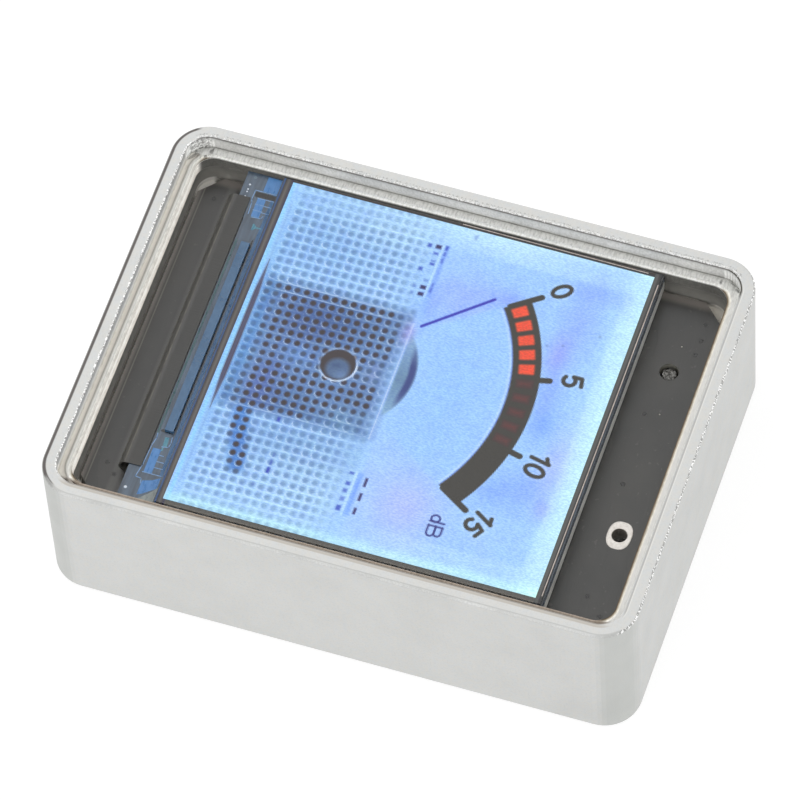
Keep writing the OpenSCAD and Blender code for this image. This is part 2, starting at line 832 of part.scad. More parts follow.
// Flexible circuit: bonded to the ledge, turned down round the glass, and laid
// back under the display, where its narrower tail is soldered to the board
module flex_outline() {
    bend_y = glass_bottom - flex_clear;
    bend_r = (ledge_top + flex_t - board_top) / 2;
    bend_z = board_top + bend_r;
    translate([bend_y, ledge_top])
        square([flex_bond + flex_clear, flex_t]);
    translate([bend_y, board_top])
        square([flex_tuck + flex_clear, flex_t]);
    translate([bend_y, bend_z])
        difference() {
            circle(r = bend_r, $fn = 64);
            circle(r = bend_r - flex_t, $fn = 64);
            translate([0, -2 * bend_r]) square(4 * bend_r);
        }
}

module display_flex() {
    color([0.10, 0.10, 0.11])
    translate([-flex_shift, 0, 0]) {
        rotate([90, 0, 90])
            linear_extrude(flex_w, center = true) flex_outline();
        translate([-tail_w / 2, glass_bottom, board_top])
            cube([tail_w, tail_l, flex_t]);
    }
}

// ---------------------------------------------------------------- circuit

// Flat leadless package with terminals along its four sides
module controller_chip() {
    pitch = (mcu_size - 2 * mcu_corner) / (mcu_pins - 1);
    pin_w = pitch / 2;
    first = -(mcu_pins - 1) / 2 * pitch - pin_w / 2;
    half = mcu_size / 2;
    color([0.13, 0.13, 0.14])
    translate([mcu_x, mcu_y, board_z - mcu_t])
        union() {
            difference() {
                linear_extrude(mcu_t - solder_t)
                    square(mcu_size - 2 * mcu_pin_out, center = true);
                translate([dimple_inset - half, half - dimple_inset, -over])
                    cylinder(r = dimple_r, h = over + dimple_depth, $fn = 24);
            }
            for (side = [0 : 3], i = [0 : mcu_pins - 1])
                rotate([0, 0, 90 * side])
                    translate([half - mcu_pin_l, first + i * pitch, mcu_t - mcu_pin_t])
                        cube([mcu_pin_l, pin_w, mcu_pin_t]);
        }
}

// Side view of a gull-wing lead along +X: root in the body at this height
// below the board, sloped leg, and the foot flat on the board
module lead_outline(drop) {
    foot = lead_reach / 2;
    knee = foot - lead_t / 2;
    polygon([
        [lead_reach, 0], [foot, 0], [knee, -drop], [-lead_t, -drop],
        [-lead_t, -drop - lead_t], [knee + lead_t, -drop - lead_t],
        [foot + lead_t, -lead_t], [lead_reach, -lead_t]
    ]);
}

// Moulded body on leads: rows of leads on the right and left sides, each
// given as multiples of the pitch
module leaded_chip(x, y, body_l, body_w, body_t, right_leads, left_leads, pitch) {
    drop = body_t / 2 + standoff;
    translate([x, y, board_z]) {
        translate([-body_w / 2, -body_l / 2, -standoff - body_t])
            cube([body_w, body_l, body_t]);
        for (side = [0, 1], p = side == 0 ? right_leads : left_leads)
            mirror([side, 0, 0])
                translate([body_w / 2, p * pitch, 0])
                    rotate([90, 0, 0])
                        linear_extrude(lead_w, center = true) lead_outline(drop);
    }
}

module memory_chip() {
    rows = [-1.5, -0.5, 0.5, 1.5];
    color([0.14, 0.14, 0.15])
    leaded_chip(mcu_x, memory_y, memory_l, memory_w, memory_t, rows, rows, memory_pitch);
}

// Small body with one lead on the right and two on the left
module trio(y) {
    leaded_chip(trio_x, y, trio_l, trio_w, trio_t, [0], [-1, 1], trio_pitch);
}

module voltage_regulator() {
    color([0.14, 0.14, 0.15]) trio(-usb_drop);
}

module backlight_transistor() {
    color([0.15, 0.14, 0.14]) trio(-usb_drop - trio_spacing);
}

// Ceramic tray with a metal lid
module crystal() {
    color([0.75, 0.74, 0.70])
    translate([mcu_x, crystal_y, board_z - crystal_t])
        union() {
            translate([0, 0, lid_t])
                linear_extrude(crystal_t - lid_t) square([crystal_l, crystal_w], center = true);
            round_slab(crystal_l - 2 * lid_inset, crystal_w - 2 * lid_inset, lid_r, 2 * lid_t);
        }
}

// Chip part: body between two slightly larger end caps, lying along Y
module chip_part(x, y, t) {
    body_w = chip_part_w - 2 * end_cap_out;
    body_l = chip_part_l - end_cap;
    translate([x, y, board_z - t]) {
        translate([-body_w / 2, -body_l / 2, end_cap_out])
            cube([body_w, body_l, t - 2 * end_cap_out]);
        for (end = [-chip_part_l / 2, chip_part_l / 2 - end_cap])
            translate([-chip_part_w / 2, end, 0]) cube([chip_part_w, end_cap, t]);
    }
}

// Row of chip parts along X, centred on x
module part_row(x, y, count, t) {
    for (i = [0 : count - 1])
        chip_part(x + (i - (count - 1) / 2) * row_pitch, y, t);
}

// Column of five chip parts beside the controller
module part_column(x, t) {
    for (i = [-2 : 2]) chip_part(x, mcu_y + i * column_pitch, t);
}

module capacitors() {
    color([0.66, 0.52, 0.38]) {
        part_column(row_right_x, capacitor_t);
        part_row(row_left_x, mcu_below + chip_part_l / 2, 3, capacitor_t);
        part_row(mcu_x, pair_y, 2, capacitor_t);
    }
}

module resistors() {
    color([0.12, 0.12, 0.13]) {
        part_column(row_right_x + row_pitch, resistor_t);
        part_row(row_left_x, mcu_above - chip_part_l / 2, 3, resistor_t);
        part_row(mcu_x, lowest_y, 3, resistor_t);
    }
}

// ---------------------------------------------------------------- inlet

// Four legs that stand up into slots in the board
module usb_legs(grow, past) {
    leg_h = board_t - leg_short;
    for (x = [leg_front, leg_back], s = [-1, 1])
        translate([
            usb_mouth + x - leg_w / 2 - grow,
            -usb_drop + s * (usb_w / 2 - usb_shell_t / 2) - usb_shell_t / 2 - grow,
            usb_z
        ])
            cube([leg_w + 2 * grow, usb_shell_t + 2 * grow, board_z - usb_z + leg_h + past]);
}

// Room inside the shell, from x0 and this long, kept clear of it by gap
module usb_inside(x0, length, gap) {
    translate([x0, -usb_drop, usb_z])
        slot_along_x(
            usb_w - 2 * (usb_shell_t + gap),
            usb_h - 2 * (usb_shell_t + gap),
            length
        );
}

module usb_shell() {
    color([0.78, 0.78, 0.78])
    difference() {
        union() {
            translate([usb_mouth, -usb_drop, usb_z]) slot_along_x(usb_w, usb_h, usb_l);
            usb_legs(0, 0);
        }
        usb_inside(usb_mouth - over, usb_l + 2 * over, 0);
    }
}

module usb_tongue() {
    color([0.12, 0.12, 0.12])
    union() {
        usb_inside(usb_back - usb_block_l, usb_block_l, usb_block_gap);
        translate([usb_mouth + tongue_inset, -usb_drop - tongue_w / 2, usb_z - tongue_t / 2])
            cube([usb_l - tongue_inset - usb_block_l / 2, tongue_w, tongue_t]);
    }
}

module usb_contacts() {
    contact_l = usb_l - usb_block_l - tongue_inset - contact_tip - contact_free;
    color([0.85, 0.68, 0.30])
    for (i = [0 : contact_count - 1], s = [-1, 1])
        translate([
            usb_mouth + tongue_inset + contact_tip,
            -usb_drop + (i - (contact_count - 1) / 2) * contact_pitch - contact_w / 2,
            usb_z + s * (tongue_t / 2 + contact_t / 2) - contact_t / 2
        ])
            cube([contact_l, contact_w, contact_t]);
}

// ---------------------------------------------------------------- button

// Box on the button's axis, from x0 to x1
module axis_box(x0, x1, w, h) {
    translate([x0, button_rise - w / 2, button_z - h / 2]) cube([x1 - x0, w, h]);
}

module switch_housing() {
    color([0.16, 0.16, 0.17])
    difference() {
        axis_box(switch_face, switch_face + switch_d, switch_w, switch_h);
        // window for the plunger
        axis_box(
            switch_face - over,
            switch_face + over,
            plunger_w + 2 * plunger_gap,
            plunger_h + 2 * plunger_gap
        );
        // room for its shoulder and the dome
        axis_box(
            switch_face + switch_wall,
            switch_face + switch_wall + cavity_d,
            switch_w - 2 * switch_wall,
            switch_h - 2 * switch_wall
        );
    }
}

// Plunger with a shoulder behind the housing's front wall
module switch_plunger() {
    back = switch_face + switch_wall + plunger_gap;
    color([0.85, 0.84, 0.80])
    union() {
        axis_box(plunger_tip, back + shoulder_t, plunger_w, plunger_h);
        axis_box(back, back + shoulder_t, plunger_w + 2 * shoulder, plunger_h + 2 * shoulder);
        translate([back, button_rise, button_z])
            rotate([0, 90, 0]) cylinder(r = nub_r, h = shoulder_t + nub_l, $fn = 32);
    }
}

// Snap dome: a shallow domed disc on the cavity's back wall
module switch_dome() {
    ball_r = (dome_r * dome_r + dome_rise * dome_rise) / (2 * dome_rise);
    color([0.80, 0.76, 0.66])
    translate([dome_seat, button_rise, button_z])
        intersection() {
            translate([ball_r - dome_rise, 0, 0])
                difference() {
                    sphere(r = ball_r, $fn = 96);
                    sphere(r = ball_r - dome_t, $fn = 96);
                }
            translate([-dome_rise - over, 0, 0])
                rotate([0, 90, 0]) cylinder(r = dome_r + over, h = dome_rise + over, $fn = 48);
        }
}

// Turned cap with a retaining flange that bears on the plunger
module button_cap() {
    face = left_face - cap_proud;
    flange_x = flange_face - face;
    color([0.80, 0.80, 0.80])
    translate([face, button_rise, button_z])
        rotate([0, 90, 0])
            rotate_extrude($fn = 64) {
                translate([0, cap_round]) square([cap_r, flange_x - cap_round]);
                square([cap_r - cap_round, cap_round + 0.01]);
                intersection() {
                    translate([cap_r - cap_round, cap_round]) circle(r = cap_round, $fn = 48);
                    square([cap_r, flange_x]);
                }
                translate([0, flange_x]) square([cap_r + flange_over, flange_t]);
            }
}

case();
back_cover();
cover_screws();
window_pane();
window_adhesive();
board_pads();
main_board();
sound_hole_plating();
microphone();
display_tape();
backlight_frame();
reflector_sheet();
light_guide();
optical_films();
backlight_leds();
rear_polariser();
rear_glass();
front_glass();
front_polariser();
driver_chip();
display_flex();
controller_chip();
memory_chip();
crystal();
voltage_regulator();
backlight_transistor();
capacitors();
resistors();
usb_shell();
usb_tongue();
usb_contacts();
switch_housing();
switch_dome();
switch_plunger();
button_cap();
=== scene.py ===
"""Looks of the pocket level meter: camera, studio, materials, the lit dial and the fine detail on its parts."""

import bpy
import numpy as np
from mathutils import Matrix, Vector


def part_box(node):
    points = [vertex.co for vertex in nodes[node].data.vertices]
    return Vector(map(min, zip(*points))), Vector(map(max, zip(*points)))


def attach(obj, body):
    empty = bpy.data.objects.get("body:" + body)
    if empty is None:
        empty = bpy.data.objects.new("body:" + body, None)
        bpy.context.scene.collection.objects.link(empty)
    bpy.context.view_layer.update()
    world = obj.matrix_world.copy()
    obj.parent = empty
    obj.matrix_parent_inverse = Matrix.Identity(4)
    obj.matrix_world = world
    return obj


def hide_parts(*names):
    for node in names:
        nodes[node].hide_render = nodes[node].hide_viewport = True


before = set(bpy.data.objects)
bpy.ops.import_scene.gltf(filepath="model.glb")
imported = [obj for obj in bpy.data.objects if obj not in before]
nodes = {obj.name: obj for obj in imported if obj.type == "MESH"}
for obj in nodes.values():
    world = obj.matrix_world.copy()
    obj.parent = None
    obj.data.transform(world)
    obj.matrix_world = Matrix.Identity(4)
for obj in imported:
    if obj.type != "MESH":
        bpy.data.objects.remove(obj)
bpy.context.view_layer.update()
scene = bpy.context.scene

MM = 0.001  # every table below is in millimetres
WHITE = (1, 1, 1, 1)
VEIL = 0.0908  # how much of the white room the parts under the pane mirror towards the viewer
GLOSS_UNDER = 1  # their specular level
PANE_IOR = 1.5
PANE_FACING = 0.045  # mirror of the pane seen square on, where its coating takes it away

# ---------- colour


def unit(value):
    """The value held between 0 and 1."""
    return np.clip(value, 0, 1)


def linear(colour):
    """The scene's own numbers for colours written as 0 to 255."""
    c = np.asarray(colour, float) / 255
    return np.where(c > 0.04045, ((c + 0.055) / 1.055) ** 2.4, c / 12.92)


def below_pane(colour):
    """The same for colours that show as written once the pane lies over them."""
    return unit((linear(colour) - VEIL) / (1 - VEIL))


def under(r, g, b):
    """A shader colour that shows as r, g, b through the pane."""
    return (*(float(c) for c in below_pane((r, g, b))), 1)


def shader_colour(value):
    """Takes a grey level, a colour from 0 to 255 in plain light, or four shader numbers, which stay as they are."""
    if isinstance(value, (int, float)):
        return (value, value, value, 1)
    return (*(float(c) for c in linear(value)), 1) if len(value) == 3 else value


# ---------- camera

CAMERA_PLACE = Vector((254.975, 104.676, 454.539)) * MM
CAMERA_RIGHT = Vector((-0.316624, 0.947627, -0.041862))
CAMERA_UP = Vector((-0.813994, -0.248787, 0.524899))
CAMERA_LENS = 329.325


def build_camera():
    data = bpy.data.cameras.new("camera")
    data.sensor_width = 36
    data.lens = CAMERA_LENS
    data.clip_start, data.clip_end = 0.01, 20
    camera = bpy.data.objects.new("camera", data)
    scene.collection.objects.link(camera)
    back = CAMERA_RIGHT.cross(CAMERA_UP).normalized()
    turn = Matrix((CAMERA_RIGHT, CAMERA_UP, back)).transposed().to_4x4()
    camera.matrix_world = Matrix.Translation(CAMERA_PLACE) @ turn
    scene.camera = camera


# ---------- shader nodes


def feed(tree, socket, value):
    """Links a node's output to a socket, or sets the socket's own value."""
    if isinstance(value, bpy.types.NodeSocket):
        tree.links.new(value, socket)
    else:
        socket.default_value = value


def add_node(tree, kind, feeds=None, **settings):
    made = tree.nodes.new("ShaderNode" + kind)
    for key, value in settings.items():
        setattr(made, key, value)
    for key, value in (feeds or {}).items():
        feed(tree, made.inputs[key], value)
    return made


def fresh_tree(block):
    """The empty node tree of a material or world."""
    block.use_nodes = True
    block.node_tree.nodes.clear()
    return block.node_tree


# ---------- studio

AMBIENT = 0.74  # level of the room on matt surfaces
LAMPS = (  # name, place in metres, size in metres, watts
    ("key", (-0.35, -0.85, 1), 0.7, 1.5),
    ("side", (1, -0.25, 0.6), 0.6, 1.1),
    ("fill", (-0.3, 1, 0.8), 0.6, 0.25),
)
FLOOR_HALF = 1.6  # metres
FLOOR_DROP = 0.01  # keeps the floor clear of the cover's underside
FLOOR_GREY = 0.42
FLOOR_GLOW = 0.72


def seen_directly(tree):
    """1 for camera, glossy and transmission rays, 0 for the rays that light matt surfaces."""
    path = add_node(tree, "LightPath").outputs
    total = path["Is Camera Ray"]
    for kind in ("Is Glossy Ray", "Is Transmission Ray"):
        total = add_node(tree, "Math", {0: total, 1: path[kind]}, operation="MAXIMUM").outputs[0]
    return total


def build_studio():
    scene.world = bpy.data.worlds.new("room")
    tree = fresh_tree(scene.world)
    room = add_node(tree, "Background", {"Color": WHITE, "Strength": AMBIENT})
    white = add_node(tree, "Background", {"Color": WHITE})
    mix = add_node(tree, "MixShader", {0: seen_directly(tree), 1: room.outputs[0], 2: white.outputs[0]})
    add_node(tree, "OutputWorld", {"Surface": mix.outputs[0]})

    for name, place, size, watts in LAMPS:
        data = bpy.data.lights.new(name, "AREA")
        data.shape = "DISK"
        data.size = size
        data.energy = watts
        lamp = bpy.data.objects.new(name, data)
        lamp.location = place
        lamp.rotation_euler = (-Vector(place)).to_track_quat("-Z", "Y").to_euler()
        scene.collection.objects.link(lamp)

    mesh = bpy.data.meshes.new("floor")
    h = FLOOR_HALF
    mesh.from_pydata([(-h, -h, 0), (h, -h, 0), (h, h, 0), (-h, h, 0)], [], [(0, 1, 2, 3)])
    floor = bpy.data.objects.new("floor", mesh)
    floor.location.z = -FLOOR_DROP * MM
    scene.collection.objects.link(floor)
    material = bpy.data.materials.new("floor")
    tree = fresh_tree(material)
    matt = add_node(tree, "BsdfDiffuse", {"Color": shader_colour(FLOOR_GREY)})
    strength = add_node(tree, "Math", {0: seen_directly(tree), 1: FLOOR_GLOW}, operation="MULTIPLY")
    glow = add_node(tree, "Emission", {"Strength": strength.outputs[0]})
    both = add_node(tree, "AddShader", {0: matt.outputs[0], 1: glow.outputs[0]})
    add_node(tree, "OutputMaterial", {"Surface": both.outputs[0]})
    mesh.materials.append(material)


# ---------- material kit


class Shade:
    """One material: a Principled shader over the part's own millimetres, with short calls for what feeds it.

    Every mask is a number from 0 to 1, and what takes a colour takes all that shader_colour does.
    """

    def __init__(self, name, **fixed):
        self.material = bpy.data.materials.new(name)
        self.tree = fresh_tree(self.material)
        self.body = self.add("BsdfPrincipled")
        self.out = self.add("OutputMaterial", {"Surface": self.body.outputs[0]})
        for key, value in fixed.items():
            self.set(key.replace("_", " "), value)
        self.place = self.vector("MULTIPLY", self.add("TexCoord").outputs["Object"], (1 / MM,) * 3)
        self.x, self.y, self.z = self.split(self.place)

    def add(self, kind, feeds=None, **settings):
        return add_node(self.tree, kind, feeds, **settings)

    def set(self, key, value):
        feed(self.tree, self.body.inputs[key], value)

    def math(self, operation, *values):
        return self.add("Math", dict(enumerate(values)), operation=operation).outputs[0]

    def vector(self, operation, *values):
        outputs = self.add("VectorMath", dict(enumerate(values)), operation=operation).outputs
        return outputs["Value" if operation in ("LENGTH", "DISTANCE") else "Vector"]

    def split(self, vector):
        return self.add("SeparateXYZ", {0: vector}).outputs

    def times(self, total, *factors):
        for factor in factors:
            total = self.math("MULTIPLY", total, factor)
        return total

    def largest(self, total, *others):
        for other in others:
            total = self.math("MAXIMUM", total, other)
        return total

    def away(self, value, at):
        """How far a value is from one number, on either side."""
        return self.math("ABSOLUTE", self.math("SUBTRACT", value, at))

    def noise(self, scale, detail=2, stretch=(1, 1, 1), shift=0, rough=0.5):
        spread = self.vector("MULTIPLY_ADD", self.place, stretch, (shift,) * 3)
        feeds = {"Vector": spread, "Scale": scale, "Detail": detail, "Roughness": rough}
        return self.add("TexNoise", feeds).outputs[0]

    def cells(self, scale):
        return self.add("TexVoronoi", {"Vector": self.place, "Scale": scale}).outputs["Distance"]

    def ramp(self, value, *stops):
        made = self.add("ValToRGB", {0: value})
        elements = made.color_ramp.elements
        while len(elements) < len(stops):
            elements.new(1)
        for element, (at, colour) in zip(elements, stops):
            element.position = at
            element.color = shader_colour(colour)
        return made.outputs[0]

    def fit(self, value, low, high, to_low=0, to_high=1):
        """A smooth step from to_low, where the value is low, to to_high, where it is high."""
        feeds = {"Value": value, "From Min": low, "From Max": high, "To Min": to_low, "To Max": to_high}
        return self.add("MapRange", feeds, interpolation_type="SMOOTHSTEP").outputs[0]

    def bands(self, value, *stops):
        """Colours laid along a value, each stop given in the value's own unit."""
        low, high = stops[0][0], stops[-1][0]
        share = self.add("MapRange", {"Value": value, "From Min": low, "From Max": high}).outputs[0]
        return self.ramp(share, *(((at - low) / (high - low), colour) for at, colour in stops))

    def mix(self, factor, a, b, blend="MIX"):
        made = self.add("Mix", {0: factor}, data_type="RGBA", blend_type=blend)
        for index, value in ((6, a), (7, b)):
            feed(self.tree, made.inputs[index], shader_colour(value) if isinstance(value, tuple) else value)
        return made.outputs[2]

    def over(self, base, colour, *masks):
        """A colour laid over base where every mask is 1."""
        return self.mix(self.times(*masks), base, colour)

    def stain(self, base, filter_colour):
        return self.mix(1, base, filter_colour, "MULTIPLY")

    def line(self, distance, at, half, soft):
        """1 on a line that runs at one value of distance, falling to 0 beyond half its width."""
        return self.fit(self.away(distance, at), half + soft, half)

    def outline(self, size_x, size_y, radius):
        """How far a point lies outside a rounded rectangle about the part's middle."""
        half = (size_x / 2 - radius, size_y / 2 - radius, 1000)
        past = self.vector("SUBTRACT", self.vector("ABSOLUTE", self.place), half)
        corner = self.vector("LENGTH", self.vector("MAXIMUM", past, (0, 0, 0)))
        past_x, past_y, _ = self.split(past)
        side = self.math("MINIMUM", self.largest(past_x, past_y), 0)
        return self.math("SUBTRACT", self.math("ADD", corner, side), radius)

    def bump(self, height, depth, over=None):
        """The normal of a relief that is depth millimetres deep, over another normal where one is given."""
        feeds = {"Height": height, "Distance": depth * MM, "Strength": 1}
        if over is not None:
            feeds["Normal"] = over
        return self.add("Bump", feeds).outputs[0]

    def finish(self, base, relief, depth, rough=None):
        """Sets the colour, the relief and, where it varies, the roughness."""
        self.set("Base Color", base)
        self.set("Normal", self.bump(relief, depth))
        if rough is not None:
            self.set("Roughness", rough)
        return self


# ---------- metal

RIM_OUTSIDE = (32.7, 44.2, 2.75)  # length, width and corner radius of the rim and of the openings in it
RIM_INSIDE = (30.6, 42.1, 1.7)
OPENING = (28.9, 40.4, 1.4)
STEP_Z = 10.6  # the ledge under the pane
# Where each side of the rim or the ledge begins and where it is whole, by its own axis.
RIM_LEFT, RIM_RIGHT, RIM_FAR, RIM_NEAR = (-20.4, -20.9), (21, 21.4), (-14.7, -15.1), (15.1, 15.5)
RIM_TOP, RIM_SKIN = (12.6, 12.75), (12.62, 12.7)
LEDGE_LEFT, LEDGE_FAR, LEDGE_NEAR = (-19.9, -20.3), (-14.2, -14.5), (14.2, 14.5)
RIPPLED = (-11, -14)  # the cutter's wrinkles grow towards the far side
BORDER_LOW, BORDER_HIGH = (-12.92, -12.98), (14.5, 14.56)  # the display's rim below and above its picture
RIGHT_FACE_Y = 22.03  # beyond it lies only the right side's own face
BOARD_Z = 9.55  # the top of the circuit board
BOARD_EDGE_Y = -19.5
FLEX_FOOT_Y, FLEX_CREASE_Y = -17.55, -16.9  # where the flexible circuit meets the board and where it turns down
MICROPHONE_Z = 8.35  # its port, under the sound hole
PORT_Y, PORT_HALF, PORT_TOP, PORT_X = -8, 6.4, 10, -14.38  # the inlet's recess
PEG = (-7.8, 17.55, 8.8)  # the locating pin seen in the board's hole
PEG_R = 0.58
RING = (6.2, 18.25)  # the tinned ring round the sound hole, wider than it is high
RING_HOLE = 0.56


def blasted(name, light, dark, grain=6):
    """Bead-blasted aluminium: a fine warm and cool mottle with tiny dints."""
    s = Shade(name, Metallic=1)
    cloud = s.noise(0.35, 3)
    mottle = s.noise(grain, 4, rough=0.62)
    base = s.ramp(mottle, (0.3, dark), (0.5, light), (0.72, light))
    warm = s.noise(grain * 0.45, 3, shift=7)
    base = s.mix(0.35, base, s.ramp(warm, (0.35, (216, 214, 208)), (0.65, (207, 212, 215))))
    dint = s.ramp(s.cells(grain * 0.55), (0, 0), (0.16, 1))
    rare = s.fit(s.noise(grain * 0.3, 1, shift=3), 0.56, 0.66)
    pit = s.times(s.math("SUBTRACT", 1, dint), rare)
    s.base = s.over(base, (150, 149, 146), pit, 0.35)
    s.relief = s.math("SUBTRACT", s.times(mottle, 0.8), pit)
    return s.finish(s.base, s.relief, 0.012, s.fit(s.math("ADD", cloud, s.times(mottle, 0.4)), 0.4, 1, 0.42, 0.58))


def ledge_colour(s):
    """Colours across the ledge that carries the pane, counted outwards from the opening, with painted light and
    shade in them: a white highlight and bright lines along the edges, a brown fringe of light from the pane's edge
    on the right, dark lines of painted shadow in the gaps, and the near side darker.
    """
    inside = s.outline(*OPENING)
    left = s.bands(
        inside,
        (0, (222, 219, 212)), (0.15, (232, 230, 224)), (0.22, (248, 247, 242)), (0.34, (250, 250, 246)),
        (0.42, (222, 219, 212)), (0.48, (172, 168, 160)), (0.58, (236, 230, 220)), (0.74, (255, 251, 242)),
    )
    right = s.bands(
        inside,
        (0, (100, 87, 72)), (0.05, (122, 108, 90)), (0.11, (180, 171, 154)),
        (0.22, (255, 250, 240)), (0.34, (246, 245, 241)), (0.85, (250, 250, 246)),
    )
    far = s.bands(
        inside,
        (0, (120, 118, 114)), (0.04, (255, 255, 252)), (0.12, (255, 255, 252)), (0.24, (240, 240, 237)),
        (0.5, (240, 240, 236)), (0.66, (226, 226, 222)), (0.82, (210, 210, 206)),
    )
    near = s.bands(
        inside,
        (0, (186, 172, 158)), (0.08, (160, 149, 137)), (0.16, (140, 128, 116)),
        (0.34, (126, 113, 101)), (0.42, (190, 182, 172)),
    )
    base = s.mix(s.fit(s.y, *LEDGE_LEFT), right, left)
    base = s.mix(s.fit(s.x, *LEDGE_FAR), base, far)
    return s.mix(s.fit(s.x, *LEDGE_NEAR), base, near)


def step_colour(s, facing_up, wrinkle):
    """The milled step: its wall and its ledge, with the cutter's wrinkles. The wall's colours by height are painted
    light and shade: painted light where the wall stands in shade below the pane, darker bands at its top edge and,
    on the far side, below the lip.
    """
    wall_left = s.bands(
        s.z,
        (10.6, (222, 214, 205)), (10.9, (244, 238, 230)), (11.3, (255, 252, 246)), (11.75, (252, 248, 240)),
        (12.1, (252, 249, 242)), (12.35, (178, 177, 172)), (12.8, (146, 145, 142)),
    )
    wall_far = s.bands(
        s.z,
        (10.6, (96, 95, 91)), (11.55, (92, 91, 88)), (11.66, (212, 212, 208)), (11.85, (232, 232, 229)),
        (12.1, (246, 246, 243)), (12.45, (250, 250, 247)), (12.7, (230, 230, 228)), (12.85, (138, 138, 135)),
    )
    dark_end = s.times(s.fit(s.x, -12.2, -12.8), s.fit(s.y, 0, 1))
    wall = s.mix(s.largest(s.fit(s.x, -13.4, -13.9), dark_end), wall_left, wall_far)
    wall = s.mix(s.fit(facing_up, 0.4, 0.6), wall, ledge_colour(s))
    return s.stain(wall, s.ramp(wrinkle, (0.36, (0.84, 0.84, 0.83, 1)), (0.6, 1.05)))


def inside_colour(s, base, depth):
    """Below the lip the inside of the case in painted greys, darker than the bare metal for the shade in there yet
    lighter the deeper they lie to make up for it, and its stubs beside the board with a painted sheen.
    """
    inner = s.bands(
        s.z,
        (8.3, (250, 246, 238)), (8.8, (158, 154, 146)), (9.5, (144, 141, 134)), (10.2, (128, 126, 119)),
        (10.6, (112, 110, 104)),
    )
    clouded = s.ramp(s.noise(0.9, 2), (0.3, 0.86), (0.7, (1.06, 1.06, 1.05, 1)))
    base = s.mix(depth, base, s.stain(inner, clouded))
    # A painted fan of light on the far wall's left end, and the stubs below the board's face with a painted sheen,
    # painted light all along beside the board's left edge to lighten the shade in the gap there.
    spread = s.math("ADD", s.times(s.away(s.y, -18.2), 1.25), s.away(s.z, 9))
    base = s.over(base, (214, 210, 200), s.fit(spread, 1.1, 0.2), s.fit(s.x, -13.9, -14.2), 0.55, depth)
    sheen = s.noise(1.1, 2, stretch=(1.6, 0.7, 1), shift=8)
    stub = s.ramp(sheen, (0.42, (130, 127, 120)), (0.52, (244, 239, 228)))
    stub = s.mix(s.fit(s.y, -19, -19.4), stub, (252, 248, 240))
    return s.over(base, stub, s.fit(s.z, 9.3, 9.1), s.fit(s.z, 8.3, 8.5), depth)


